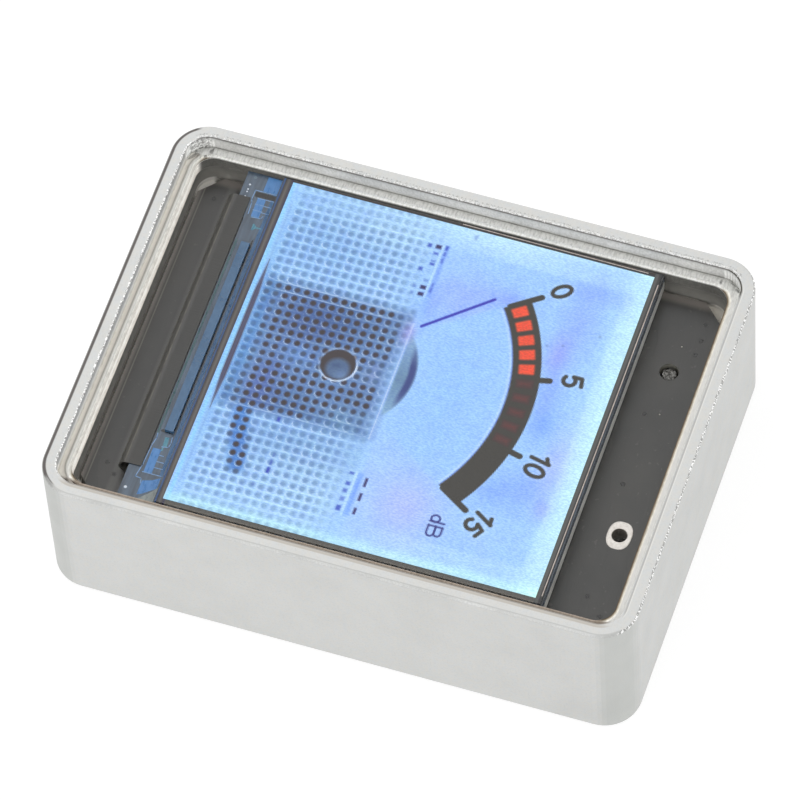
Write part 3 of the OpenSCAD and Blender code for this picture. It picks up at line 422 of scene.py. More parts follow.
def case_finish():
    """The case: blasted outside, cut bright and rough where the front step was milled, with painted light and shade
    along its rim, its step and its inside.
    """
    s = blasted("case_blasted", (214, 214, 212), (203, 203, 201))
    inside, outside, opening = (s.outline(*size) for size in (RIM_INSIDE, RIM_OUTSIDE, OPENING))
    top = s.fit(s.z, *RIM_TOP)
    skin = s.fit(s.z, *RIM_SKIN)
    left, right = s.fit(s.y, *RIM_LEFT), s.fit(s.y, *RIM_RIGHT)
    far, near = s.fit(s.x, *RIM_FAR), s.fit(s.x, *RIM_NEAR)
    far_right = s.times(s.fit(s.x, -12.9, -13.8), s.fit(s.y, 19.4, 20))

    # Painted shade: the bent corners of the side wall are painted a little darker, and so is its right face.
    facing = s.split(s.add("NewGeometry").outputs["True Normal"])
    bend = s.math("ABSOLUTE", s.times(facing[0], facing[1]))
    base = s.mix(s.fit(bend, 0.06, 0.4, 0, 0.75), s.base, (196, 198, 195))
    base = s.mix(s.fit(s.y, RIGHT_FACE_Y - 0.05, RIGHT_FACE_Y + 0.05), base, s.stain(base, (0.935, 0.938, 0.937, 1)))
    # Even lines along the rim's edges, where an edge was broken with a file: dark lines of painted shadow along the
    # edges and in the gaps at the pane and the step, darkest as a crook at the far right corner, and one painted
    # highlight on the right.
    for edge, at, half, soft, colour, *masks in (
        (outside, -0.17, 0.07, 0.1, (110, 106, 104), left, top),
        (outside, -0.1, 0.1, 0.06, (186, 187, 185), near, top, 0.7),
        (inside, 0.07, 0.075, 0.05, (58, 56, 53), right, top),
        (inside, 0.19, 0.04, 0.05, (240, 238, 233), right, top, 0.6),
        (inside, 0.16, 0.1, 0.08, (190, 184, 175), near, top, 0.8),
        (inside, 0, 0.055, 0.03, (112, 103, 93), near, top, 0.9),
        (inside, 0, 0.05, 0.04, (96, 95, 92), far, 0.95),
        (inside, -0.02, 0.09, 0.06, (74, 70, 62), far_right, 0.95),
    ):
        base = s.over(base, colour, s.line(edge, at, half, soft), *masks)
    # Burrs beside the cut, coming and going: beads painted white as glints of light on them, over a wavy dark
    # thread; the beads raise the relief as well.
    wave = s.noise(2.6, 2, stretch=(1, 1, 0.3), shift=2)
    wave = s.times(s.math("SUBTRACT", wave, 0.5), 0.22)
    beads = s.fit(s.noise(8.5, 1, stretch=(1, 1, 0.2), shift=5), 0.47, 0.56)
    burrs = []
    for edge, at, mask in (
        (outside, -0.07, right),
        (inside, 0.02, left),
        (inside, 0.13, s.times(far, 0.6)),
        (outside, -0.06, s.times(near, 0.1)),
    ):
        wavy = s.math("ADD", edge, wave)
        base = s.over(base, (112, 112, 110), s.line(wavy, at, 0.03, 0.05), mask, skin, 0.5)
        bright = s.times(s.line(wavy, at + 0.03, 0.06, 0.045), mask, beads, skin)
        base = s.over(base, (255, 255, 254), bright)
        burrs.append(bright)
    # A dotted row of pits beside the cut on the far rim.
    dots = s.fit(s.noise(7, 1, shift=11), 0.52, 0.6)
    row = s.times(s.line(inside, 0.34, 0.04, 0.05), far, dots, top)
    base = s.over(base, (150, 150, 147), row, 0.5)
    # The cut: the step, with a dark crook of painted shade in its far left corner, and all that lies below the lip
    # but the port.
    step = s.times(s.fit(inside, 0.01, -0.01), s.fit(s.z, STEP_Z - 0.02, STEP_Z + 0.02))
    wrinkle = s.noise(4.2, 3, stretch=(0.5, 1.5, 1), shift=9, rough=0.6)
    base = s.mix(step, base, step_colour(s, facing[2], wrinkle))
    crook = s.times(s.fit(s.x, -13.9, -14.5), s.fit(s.y, -19.2, -20), s.fit(wrinkle, 0.52, 0.44))
    base = s.over(base, (92, 90, 88), step, crook, 0.8)
    clear_of_port = s.largest(
        s.fit(s.away(s.y, PORT_Y), PORT_HALF - 0.05, PORT_HALF + 0.05),
        s.fit(s.z, PORT_TOP - 0.02, PORT_TOP + 0.02),
        s.fit(s.x, PORT_X - 0.02, PORT_X + 0.02),
    )
    depth = s.times(s.fit(opening, 0.9, 0.7), s.fit(s.z, STEP_Z + 0.02, STEP_Z - 0.02), clear_of_port)
    s.set("Base Color", inside_colour(s, base, depth))
    s.set("Metallic", s.math("SUBTRACT", 1, depth))
    # The cut walls are rough enough to catch the light from above as well as from the front.
    lift = s.add("CombineXYZ", {2: s.times(s.largest(step, depth), 1.6)}).outputs[0]
    lean = s.vector("ADD", s.add("NewGeometry").outputs["Normal"], lift)
    relief = s.math("ADD", s.relief, s.times(wrinkle, step, s.fit(s.x, *RIPPLED, 0.4, 1.6)))
    for burr in burrs:
        relief = s.math("ADD", relief, s.times(burr, 1.2))
    relief = s.math("SUBTRACT", relief, row)
    s.set("Normal", s.bump(relief, 0.012, s.vector("NORMALIZE", lean)))
    return s


def plain_metal(name, colour, shadow, rough=0.35, scale=4, stretch=(1, 1, 1), depth=0.004):
    """Turned, drawn or pressed metal with its lay along one axis."""
    s = Shade(name, Metallic=1)
    lay = s.noise(scale, 4, stretch=stretch)
    gloss = s.fit(s.noise(scale * 0.3, 2, shift=4), 0.3, 0.7, rough * 0.75, rough * 1.3)
    return s.finish(s.ramp(lay, (0.3, shadow), (0.7, colour)), lay, depth, gloss)


def can_finish():
    """Pressed metal can, dark in the sound hole above its port."""
    metal, shadow = (206, 200, 184), (186, 180, 166)
    s = plain_metal("can_pressed", metal, shadow, 0.3, 3)
    reach = s.vector("DISTANCE", s.place, (*RING, MICROPHONE_Z))
    hole = s.fit(reach, 0.75, 0.65)
    gauze = s.ramp(s.noise(9, 2), (0.4, (38, 37, 36)), (0.6, (52, 51, 49)))
    s.set("Base Color", s.mix(hole, s.ramp(s.noise(3, 4), (0.3, shadow), (0.7, metal)), gauze))
    s.set("Metallic", s.math("SUBTRACT", 1, hole))
    return s


# ---------- plastics, board and glass


def moulded(name, colour, shadow, rough=0.5, scale=5, depth=0.004, **fixed):
    """Moulded or coated parts: a fine even grain, with faint clouds in colour and gloss."""
    s = Shade(name, **fixed)
    grain = s.noise(scale, 3, rough=0.6)
    cloud = s.noise(scale * 0.15, 2, shift=3)
    base = s.ramp(s.times(s.math("ADD", grain, cloud), 0.5), (0.35, shadow), (0.65, colour))
    return s.finish(base, grain, depth, s.fit(cloud, 0.3, 0.7, rough * 0.8, rough * 1.2))


def board_finish():
    """Black solder mask: smooth, with clouds, covered tracks and the pale line of its cut edge, and painted light
    where the flex's foot and the case's walls shade it.
    """
    s = Shade("board_mask", Specular_IOR_Level=GLOSS_UNDER)
    cloud = s.noise(0.25, 3)
    base = s.ramp(cloud, (0.3, (40, 40, 38)), (0.7, (55, 54, 51)))
    dust = s.fit(s.noise(2.6, 1, shift=8), 0.7, 0.76)
    shaded_shore = s.largest(s.fit(s.y, BOARD_EDGE_Y - 0.05, BOARD_EDGE_Y - 0.35), s.fit(s.x, -13.3, -13.9))
    # The wall of the pin's hole shows the board's paler inside.
    around_pin = s.math("ADD", s.away(s.x, PEG[0]), s.away(s.y, PEG[1]))
    bare = s.times(s.fit(around_pin, 1.2, 1.1), s.fit(s.z, BOARD_Z - 0.01, BOARD_Z - 0.05))
    # Dust, the cut edge's line, painted light lifting the flex's contact shadow and the shade along the left and far
    # edges, and the hole's wall.
    for colour, *masks in (
        ((104, 102, 98), dust, 0.25),
        ((120, 117, 110), s.line(s.y, BOARD_EDGE_Y, 0.025, 0.05), 0.75),
        ((84, 83, 80), s.line(s.y, FLEX_FOOT_Y, 0.12, 0.35), 0.8),
        ((128, 122, 116), shaded_shore, 0.9),
        ((144, 142, 134), bare),
    ):
        base = s.over(base, colour, *masks)
    tracks = s.fit(s.noise(0.9, 1, stretch=(0.25, 1.6, 1), shift=5), 0.46, 0.5)
    return s.finish(base, tracks, 0.004, s.fit(cloud, 0.3, 0.7, 0.32, 0.42))


def pane_finish():
    """The clear pane: straight through where it is faced, mirroring the room at a slant."""
    s = Shade("pane_clear")
    smear = s.noise(0.12, 3, stretch=(1, 0.6, 1))
    clear = s.add("BsdfTransparent", {0: WHITE})
    gloss = s.add("BsdfGlossy", {"Roughness": 0.02, "Color": WHITE, "Normal": s.bump(smear, 0.002)})
    mirror = s.add("Fresnel", {"IOR": PANE_IOR}).outputs[0]
    slant = s.math("MAXIMUM", s.math("SUBTRACT", mirror, PANE_FACING), 0)
    front = s.math("SUBTRACT", 1, s.add("NewGeometry").outputs["Backfacing"])
    both = s.add("MixShader", {0: s.times(slant, front), 1: clear.outputs[0], 2: gloss.outputs[0]})
    s.tree.nodes.remove(s.body)
    s.tree.links.new(both.outputs[0], s.out.inputs["Surface"])
    return s


def adhesive_finish():
    """The pressed bead under the pane: pale and rippled on the far side, in the ledge's colours with their painted
    light and shade, the brown where it ends a painted fringe of light from the pane's edge.
    """
    s = Shade("adhesive_bead", Specular_IOR_Level=0.5, Roughness=0.4)
    wrinkle = s.noise(4.4, 3, stretch=(0.42, 1.5, 1), shift=1, rough=0.6)
    tone = s.ramp(wrinkle, (0.36, (0.8, 0.8, 0.79, 1)), (0.5, 0.98), (0.64, 1.06))
    base = ledge_colour(s)
    return s.finish(s.mix(s.fit(s.x, *RIPPLED, 0.3, 1), base, s.stain(base, tone)), wrinkle, 0.012)


def border_finish():
    """The display's rim outside the lit picture: brown-grey below it, dark with thin lines on the other sides."""
    s = Shade("screen_border", Specular_IOR_Level=GLOSS_UNDER, Roughness=0.3)
    streak = s.noise(1.4, 2, stretch=(0.15, 3, 1))
    low = s.bands(
        s.y,
        (-13.66, under(84, 108, 148)), (-13.56, under(82, 104, 142)), (-13.51, under(76, 70, 80)),
        (-13.44, under(100, 97, 97)), (-13.3, under(124, 121, 118)), (-13.2, under(110, 107, 107)),
        (-13.1, under(96, 93, 100)), (-12.98, under(84, 82, 108)),
    )
    high = s.bands(
        s.y,
        (14.5, under(80, 88, 92)), (14.6, under(104, 107, 105)), (14.78, under(112, 111, 110)),
        (14.88, under(70, 62, 58)), (15.02, under(76, 66, 60)),
    )
    far = s.bands(
        s.x,
        (-14.28, under(112, 108, 104)), (-14.2, under(90, 86, 84)), (-14.1, under(72, 68, 66)),
        (-13.98, under(84, 90, 94)),
    )
    # The near side's band is painted light, lifting the lip's shade on it.
    near = s.bands(s.x, (13.86, under(100, 108, 112)), (13.98, under(108, 107, 104)), (14.28, under(122, 119, 114)))
    base = s.mix(s.fit(s.x, -1, 1), far, near)
    base = s.mix(s.fit(s.y, *BORDER_HIGH), base, high)
    base = s.mix(s.fit(s.y, *BORDER_LOW), base, low)
    return s.finish(s.stain(base, s.ramp(streak, (0.3, 0.86), (0.7, 1.12))), streak, 0.002)


def flex_finish():
    """Black flexible circuit with a painted highlight along the crease where it turns down, and painted light on its
    lower side, which lies in shade.
    """
    s = Shade("flex_film", Specular_IOR_Level=GLOSS_UNDER)
    cloud = s.noise(0.5, 3, stretch=(0.4, 1.4, 1))
    base = s.ramp(cloud, (0.3, (28, 28, 25)), (0.7, (43, 42, 38)))
    crease_glint_share = s.fit(s.noise(0.8, 3, stretch=(1, 0.2, 1), shift=6), 0.35, 0.6, 0.1, 0.45)
    # A painted highlight along the crease, broken up, then painted light on the bend's lower side.
    base = s.over(base, (128, 124, 112), s.line(s.y, FLEX_CREASE_Y, 0.025, 0.06), s.fit(s.z, 10.9, 11), crease_glint_share)
    base = s.mix(s.fit(s.z, 11.14, 10.7), base, (106, 105, 100))
    runs = s.fit(s.noise(2.2, 1, stretch=(2, 0.1, 1), shift=2), 0.45, 0.55)
    return s.finish(base, runs, 0.003, s.fit(cloud, 0.3, 0.7, 0.34, 0.46))


def glass_finish(name, colour, shadow):
    """Display glass, seen as the bluish light that its cut edge carries."""
    s = Shade(name, Roughness=0.25, Specular_IOR_Level=GLOSS_UNDER)
    streak = s.noise(1.2, 3, stretch=(0.3, 2.5, 2))
    return s.finish(s.ramp(streak, (0.35, shadow), (0.65, colour)), streak, 0.003)


def printed(name, colour, shadow, **fixed):
    """A printed or etched film: faintly streaked colour and gloss."""
    s = Shade(name, Specular_IOR_Level=GLOSS_UNDER, **fixed)
    streak = s.noise(3, 3, stretch=(0.5, 1.5, 1))
    base = s.ramp(streak, (0.3, shadow), (0.7, colour))
    return s.finish(base, streak, 0.0003, s.fit(streak, 0.3, 0.7, 0.25, 0.4))


# ---------- the lit dial

PICTURE_X = (-14.02, 13.9)
PICTURE_Y = (-13.05, 14.56)
PICTURE_LEAN = 0.09  # how far the ends of its left edge and its lower edge lie out of square
PICTURE_Z = 11.606
SCREEN_Z = 11.6
PIXELS = 320
PITCH = (PICTURE_X[1] - PICTURE_X[0]) / PIXELS
DIAL = (-0.45, -5.85)  # middle of the scale's arc
BAND = (13.4, 15.45)  # its inner and outer radius
INK = (89, 88, 86)  # the dial's dark print


def blob(x, y, cx, cy, rx, ry):
    return np.exp(-(((x - cx) / rx) ** 2 + ((y - cy) / ry) ** 2))


def cover(distance, soft=PITCH):
    """Share of a pixel that a shape fills, from its signed distance."""
    return unit(0.5 - distance / soft)


def box_distance(x, y, x0, y0, x1, y1):
    dx = np.abs(x - (x0 + x1) / 2) - (x1 - x0) / 2
    dy = np.abs(y - (y0 + y1) / 2) - (y1 - y0) / 2
    return np.hypot(np.maximum(dx, 0), np.maximum(dy, 0)) + np.minimum(np.maximum(dx, dy), 0)


def stroke_distance(x, y, points):
    best = np.full(x.shape, 99.0)
    for (x0, y0), (x1, y1) in zip(points, points[1:]):
        dx, dy = x1 - x0, y1 - y0
        t = unit(((x - x0) * dx + (y - y0) * dy) / (dx * dx + dy * dy))
        best = np.minimum(best, np.hypot(x - x0 - t * dx, y - y0 - t * dy))
    return best


def arc_points(cx, cy, rx, ry, start, end, count=9):
    turn = np.radians(np.linspace(start, end, count))
    return [(cx + rx * np.cos(t), cy + ry * np.sin(t)) for t in turn]


NUMERALS = {  # middle lines of the figures, one unit high
    "0": arc_points(0, 0, 0.29, 0.5, 0, 360, 25),
    "1": [(-0.2, 0.26), (0.02, 0.4), (0.08, 0.5), (0.08, -0.5)],
    "5": [(0.3, 0.47), (-0.16, 0.47), (-0.24, 0.04)] + arc_points(0, -0.16, 0.29, 0.31, 118, -140, 13),
}
FIGURES = (  # figure, middle, turn in degrees
    ("0", (-10.83, 8.58), 36),
    ("5", (-3.85, 11.6), 10),
    ("1", (3.05, 11.46), -12.5),
    ("0", (4.07, 11.29), -12.5),
    ("1", (8.76, 9.18), -32.5),
    ("5", (9.66, 8.6), -32.5),
)
FIGURE_HEIGHT = 1.42
FIGURE_HALF = 0.152
TICKS = (
    ((-9.92, 7.35), (-8.55, 5.42)),
    ((-3.38, 10.03), (-3.12, 8.9)),
    ((3.22, 9.92), (2.98, 8.9)),
    ((8.56, 7.64), (7.28, 5.55)),
)
TICK_HALF = 0.23
UNIT_D = arc_points(9.83, 5.86, 0.28, 0.32, 0, 360, 15), [(10.1, 6.58), (10.1, 5.52)]
UNIT_B = (
    [(10.45, 5.53), (10.45, 6.57)],
    [(10.45, 6.57)] + arc_points(10.95, 6.32, 0.28, 0.25, 90, -90) + [(10.45, 6.07)],
    [(10.45, 6.07)] + arc_points(11, 5.8, 0.3, 0.27, 90, -90) + [(10.45, 5.53)],
)
SEGMENT_ANGLE, SEGMENT_STEP, SEGMENT_HALF = 33, 4.87, 1.62  # degrees left of the top
SEGMENT_BAND = (13.85, 14.98)
LIT, PALE = 5, 5
NEEDLE = ((-8.78, 4.17), (-5.1, -0.16))
HUB = (-0.28, -4.85)
HUB_R = 1.27
HOLE_X, HOLE_Y, HOLE_PITCH = -0.41, -1.11, 0.712
GROUND = (164, 204, 250)  # the screen's plain blue, before any layer is painted on it
PLATE = (-12.05, -13.5, 11.85, 13.05)  # the plate behind the scale
CLOTH = (-5.9, -12.3, 5, -1.1)  # the darkest part of the speaker cloth, and the part where its holes go dark
CLOTH_HOLES = (-5.9, -12.4, 4.7, -1.2)
GRILLE_Y = (-12.15, -0.75)  # from the lowest to the highest row of holes
BEARING = (-0.65, -4.78)  # the round cover of the pointer's bearing
BEARING_R = 5.52
PATCHES = (  # middle, reach and change of colour of the screen's soft tints
    ((0, 14.6), (30, 1.7), (25, 27, 3)),
    ((-11.5, 11.6), (1.1, 2.4), (-8, -12, 0)),
    ((-8.6, 10.6), (3, 1.4), (-8, -16, 0)),
    ((-5.6, 9.9), (1.6, 0.9), (-2, -20, 0)),
    ((-2.2, 10.3), (2.6, 0.9), (-12, -18, 0)),
    ((0.3, 10.7), (1.2, 0.9), (-20, -20, 0)),
    ((3.2, 12.6), (2.8, 1), (4, -12, 0)),
    ((5.6, 11), (1.8, 1.6), (-14, -18, 0)),
    ((7.1, 12.8), (0.9, 0.6), (-8, -20, 0)),
    ((6.6, 8.9), (1.4, 1.2), (-14, -16, 0)),
    ((9.6, 3.6), (2.6, 2.4), (12, -4, 0)),
    ((10.6, 9.6), (1.4, 1.4), (4, 2, 0)),
    ((-9, 5.2), (0.8, 1.6), (-12, -20, 0)),
    ((-13.4, 2.5), (1, 5.5), (18, 16, 0)),
    ((-12.4, -5), (1.8, 4.6), (12, 10, 0)),
    ((9.6, -3.5), (4, 4), (10, 8, 0)),
    ((0, 3.5), (6.5, 3), (-6, -4, 2)),
    ((-6.6, -0.3), (1.6, 0.7), (-12, -14, 0)),
    ((-1, -12.4), (11, 1), (-18, -12, -8)),
    ((13.2, -8), (1.2, 6), (4, 4, 0)),
)
SHADES = (  # the speaker cloth: middle, reach, how dark its holes go, change of ground colour
    ((-3.6, -5.6), (2.2, 2.8), 0.6, (-16, -20, -20)),
    ((-2.9, -8.2), (2.2, 2.4), 0.35, (-14, -22, -20)),
    ((2, -2.9), (0.9, 1.6), 0.55, (-6, -10, -12)),
    ((3.4, -7.2), (1.9, 2), 0.42, (-10, -12, -12)),
    ((2.8, -9.5), (2.4, 1.2), 0.3, (-10, -20, -10)),
    ((4.8, -10.2), (0.9, 0.8), 0.4, (-8, -10, -8)),
    ((-0.3, -7.9), (1, 1.2), -0.3, (6, 12, 22)),
    ((-0.2, -2.2), (0.9, 0.7), -0.35, (16, 8, 8)),
    ((4.2, -3), (1.1, 1.5), -0.3, (14, 18, 12)),
    ((-4.6, -1.9), (2, 0.5), -0.2, (4, 4, 4)),
    ((0, -11.8), (5.8, 0.8), -0.35, (6, 18, 26)),
    ((0, -1.1), (6, 0.36), -0.35, (12, 12, 14)),
)
ARM = ((5.5, -10.15), (9.75, -9.1))  # the dark patch that runs out beside the cloth
HAZE = (  # broad shade round the cloth
    ((-9.4, -9), (4.2, 4.4), (-18, -16, -12)),
    ((6.6, -6), (2.2, 5.4), (-26, -26, -20)),
)
THREADS = ((-8.5, 0.75), (-7.5, 1), (-6.5, 0.8), (7.5, 0.6))  # the brightest gaps between columns
DASHES = (  # dark marks in the two small windows: x, y, half width, half height, strength
    (-11.92, -0.5, 0.2, 0.1, 0.75), (-11.4, -0.5, 0.16, 0.09, 0.6), (-10.8, -0.5, 0.2, 0.09, 0.5),
    (-8.65, -0.5, 0.14, 0.08, 0.45), (-8.2, -0.5, 0.22, 0.09, 0.5),
    (-11.88, -1.1, 0.15, 0.2, 1), (-11.28, -1.12, 0.1, 0.18, 0.65), (-10.62, -1.1, 0.07, 0.16, 0.5),
    (-10.34, -1.1, 0.1, 0.17, 0.75), (-8.88, -1.08, 0.1, 0.16, 0.35), (-8.28, -1.1, 0.15, 0.2, 1),
    (-7.69, -1.1, 0.14, 0.2, 1), (-11.84, -1.75, 0.15, 0.14, 0.75), (-9.75, -1.78, 0.14, 0.14, 0.7),
    (-8.24, -1.75, 0.12, 0.1, 0.35), (-7.65, -1.75, 0.12, 0.1, 0.35),
    (8.47, 0.18, 0.36, 0.09, 1), (9.72, 0.18, 0.32, 0.09, 1), (10.92, 0.18, 0.26, 0.09, 1),
    (8, -1, 0.1, 0.16, 0.7), (8.88, -1, 0.15, 0.16, 0.7), (9.5, -1.02, 0.16, 0.16, 0.6),
    (10.2, -1, 0.18, 0.15, 0.45), (10.98, -1.02, 0.22, 0.17, 0.75),
    (9.5, -6.78, 0.24, 0.1, 0.85), (8.85, -6.78, 0.2, 0.08, 0.6), (8.2, -6.78, 0.16, 0.07, 0.35),
    (5.3, -7.42, 0.18, 0.1, 0.8), (10.9, -7.4, 0.1, 0.1, 0.3), (-13.4, 1.25, 0.22, 0.12, 0.25),
)
WINDOWS = (  # the two small windows, each a blue bar and then a pale sill: box, softness, strength, colour
    ((-12.05, -0.6, -7.6, -0.32), 0.3, 0.65, (126, 158, 244)),
    ((7.85, -0.52, 11.4, -0.14), 0.25, 0.75, (128, 168, 250)),
    ((-12.1, -0.82, -7.5, -0.72), 0.14, 0.7, (204, 238, 255)),
    ((7.8, -0.72, 11.4, -0.6), 0.14, 0.7, (204, 238, 255)),
)
SPECKS = ((-6.14, 8.95), (-6.47, 10.04), (-7.97, 12.34))


def scatter(i, j):
    """A steady number from 0 to 1 for a pair of counts."""
    return np.modf(np.abs(np.sin(i * 12.9898 + j * 78.233) * 43758.5453))[0]


class Picture:
    """The screen's colours, 0 to 255, painted layer by layer at the points x, y."""

    def __init__(self, x, y):
        self.x, self.y = x, y
        self.rgb = np.zeros(x.shape + (3,)) + GROUND

    def paint(self, share, colour):
        """Goes towards a colour."""
        self.rgb = self.rgb + share[..., None] * (np.array(colour, float) - self.rgb)

    def shift(self, share, change):
        """Goes up or down by a change of colour."""
        self.rgb = self.rgb + share[..., None] * np.array(change, float)

    def box(self, corners, soft, strength, colour):
        self.paint(cover(box_distance(self.x, self.y, *corners), soft) * strength, colour)


def about_dial(x, y):
    """Distance from the middle of the scale's arc, and degrees left of the top."""
    return np.hypot(x - DIAL[0], y - DIAL[1]), np.degrees(np.arctan2(DIAL[0] - x, y - DIAL[1]))


def dial_ground(p, x, y):
    """The screen's soft tints and the plate behind the scale."""
    for middle, radii, change in PATCHES:
        p.shift(blob(x, y, *middle, *radii), change)
    # The faint inner border of the dial's plate, then the light that gathers at the screen's edges.
    plate = cover(box_distance(x, y, *PLATE), 0.3)
    p.shift((1 - plate) * unit((y + 1) / 6), (10, 9, 0))
    p.shift(blob(x, 0 * y, 13.6, 0, 0.45, 1), (16, 22, -4))
    p.shift(blob(x, 0 * y, -13.85, 0, 0.25, 1), (8, 8, 0))
    # The sector that the needle sweeps is plain; beside it the plate is a little rosier.
    _, turn = about_dial(x, y)
    above = cover(-0.3 - y, 0.4)
    p.shift(above * cover(turn + 35, 1.5) * blob(x, y, 8.6, 2.6, 4.4, 4.4), (4, -3, 0))
    p.shift(above * cover(36.5 - turn, 1.5) * blob(x, y, -8, 2, 2.4, 3), (-2, -14, 0))


def dial_grille(p, x, y):
    """The speaker cloth: round holes in a weave, deep and dark in its middle."""
    column = np.round((x - HOLE_X) / HOLE_PITCH)
    row = np.round((HOLE_Y - y) / HOLE_PITCH)
    hx, hy = HOLE_X + column * HOLE_PITCH, HOLE_Y - row * HOLE_PITCH
    u, v = x - hx, y - hy
    inner = cover(box_distance(x, y, *CLOTH), 1.1)
    inner_hole = cover(box_distance(hx, hy, *CLOTH_HOLES), 0.8)
    within = cover(GRILLE_Y[0] - y, 0.3) * cover(y - GRILLE_Y[1], 0.3)
    upper = unit((-y - 1) / 2.4)
    fade = np.clip((13.9 - np.abs(x)) / 2.5, 0.4, 1) * np.maximum(upper, inner)
    dark = 0.22 * fade + 0.5 * inner_hole
    p.shift(inner * within, (-54, -64, -62))
    for middle, radii, change in HAZE:
        p.shift(blob(x, y, *middle, *radii) * within, change)
    for middle, radii, depth, change in SHADES:
        dark += blob(hx, hy, *middle, *radii) * depth * inner_hole
        p.shift(blob(x, y, *middle, *radii) * inner * within, change)
    dark += unit(1.3 - stroke_distance(hx, hy, ARM) / 0.75) * 0.8
    dark = unit(dark * (0.86 + 0.28 * scatter(column, row)))
    p.paint(np.clip(1.1 - stroke_distance(x, y, ARM) / 0.85, 0, 0.72), (66, 112, 190))
    # Bright threads between the columns, weaker ones between the rows, brightest beside each hole.
    across, down = (x - HOLE_X) / HOLE_PITCH, (HOLE_Y - y) / HOLE_PITCH
    glint = unit((np.abs(across - column) - 0.36) / 0.1) * (0.3 + scatter(column + (u > 0), 3))
    weft = unit((np.abs(down - row) - 0.38) / 0.08) * (0.2 + 0.6 * scatter(row + (v < 0), 9))
    shown = within * fade
    p.shift(shown * (0.7 * glint + 0.4 * weft), (30, 30, 20))
    p.paint(shown * 0.3 * cover(np.hypot(u + 0.03, v - 0.03) - 0.28, 0.16), (104, 134, 182))
    moon = cover(np.abs(np.hypot(u, v) - 0.29) - 0.03, 0.1) * unit(u * 2.2 - v * 2.2 + 0.1)
    p.paint(shown * moon * (0.3 + 0.6 * scatter(row, column)), (214, 234, 252))
    ends = cover(np.abs(y + 6.4) - 4.6, 1.6)
    for at, strength in THREADS:
        p.paint(cover(np.abs(across - at) - 0.05, 0.12) * ends * strength * 0.7, (196, 222, 252))
    # The holes, brown-grey where deep and teal-grey where shallow.
    hole = cover(np.hypot(u, v) - 0.17 - 0.06 * dark, 0.14)
    deep = unit((dark - 0.45) / 0.4)[..., None]
    ink = np.array([88, 82, 88]) * deep + np.array([94, 118, 150]) * (1 - deep)
    p.paint(hole * within * unit(dark * 1.25 + 0.05), ink)


def dial_bearing(p, x, y):
    """The cover of the pointer's bearing, which shows under the scale."""
    dome = np.hypot(x - BEARING[0], y - BEARING[1])
    lens = cover(dome - BEARING_R, 0.2) * cover(-0.62 - y, 0.12)
    p.paint(lens * unit(1 - np.abs(x + 0.4) * 0.15), (118, 146, 176))
    skirt = cover(box_distance(x, y, -4.6, -0.74, 5, -0.44) - 0.1, 0.3)
    p.paint(skirt * (1 - lens) * 0.4, (128, 156, 214))
    rim = cover(np.abs(dome - 5.24) - 0.26, 0.24) * cover(-y, 0.4) * unit(1.35 - np.abs(x + 0.6) * 0.36)
    p.paint(rim * 0.95, (84, 92, 138))
    p.shift(blob(x, y, -4.3, -0.9, 1, 0.5), (16, -10, 0))
    p.box((-5.2, -0.8, 5, -0.72), 0.12, 0.5, (222, 234, 252))


def dial_scale(p, x, y):
    """The scale's band, its white edge below, ticks, figures, unit and level segments."""
    reach, turn = about_dial(x, y)
    ends = np.maximum(turn - 35.9, -34.4 - turn) * np.radians(reach)
    p.paint(cover(np.abs(reach - BAND[0] + 0.2) - 0.03, 0.2) * cover(ends) * 0.45, (236, 246, 255))
    p.paint(cover(np.abs(reach - BAND[0] + 0.03) - 0.02, 0.12) * cover(ends), (96, 108, 196))
    ink = cover(np.maximum(np.maximum(BAND[0] - reach, reach - BAND[1]), ends))
    for tick in TICKS:
        ink = np.maximum(ink, cover(stroke_distance(x, y, tick) - TICK_HALF))
    for figure, (cx, cy), angle in FIGURES:
        c, s = np.cos(np.radians(angle)), np.sin(np.radians(angle))
        u, v = c * (x - cx) + s * (y - cy), -s * (x - cx) + c * (y - cy)
        shape = [(px * FIGURE_HEIGHT, py * FIGURE_HEIGHT) for px, py in NUMERALS[figure]]
        distance = stroke_distance(u, v, shape) - FIGURE_HALF
        p.paint(cover(np.abs(distance - 0.12) - 0.03, 0.12) * 0.25, (225, 240, 255))
        ink = np.maximum(ink, cover(distance))
    p.paint(ink, INK)
    for part in UNIT_D + UNIT_B:
        p.paint(cover(stroke_distance(x, y, part) - 0.07) * 0.95, (70, 76, 134))
    # Level segments: the first ones lit, the next ones glowing faintly.
    along = np.maximum(SEGMENT_BAND[0] - reach, reach - SEGMENT_BAND[1])
    for k in range(LIT + PALE):
        from_middle = np.abs(turn - SEGMENT_ANGLE + SEGMENT_STEP * k)
        if k < LIT:
            across = (from_middle - SEGMENT_HALF) * np.radians(reach)
            inset = np.minimum(np.maximum(across, along) + 0.1, 0)
            shape = np.hypot(np.maximum(across + 0.1, 0), np.maximum(along + 0.1, 0)) + inset - 0.1
            streak = 0.5 + 0.5 * np.sin(turn * 7 + reach * 5)
            p.paint(cover(shape, 0.16), (238, 104, 82))
            p.paint(cover(shape + 0.15, 0.3) * streak * 0.35, (214, 82, 66))
        else:
            across = (from_middle - SEGMENT_HALF * 0.45) * np.radians(reach)
            glow = cover(np.maximum(across, along + 0.1), 0.5)
            p.paint(glow * (0.75 if k % 2 else 0.9), (120, 66, 62))


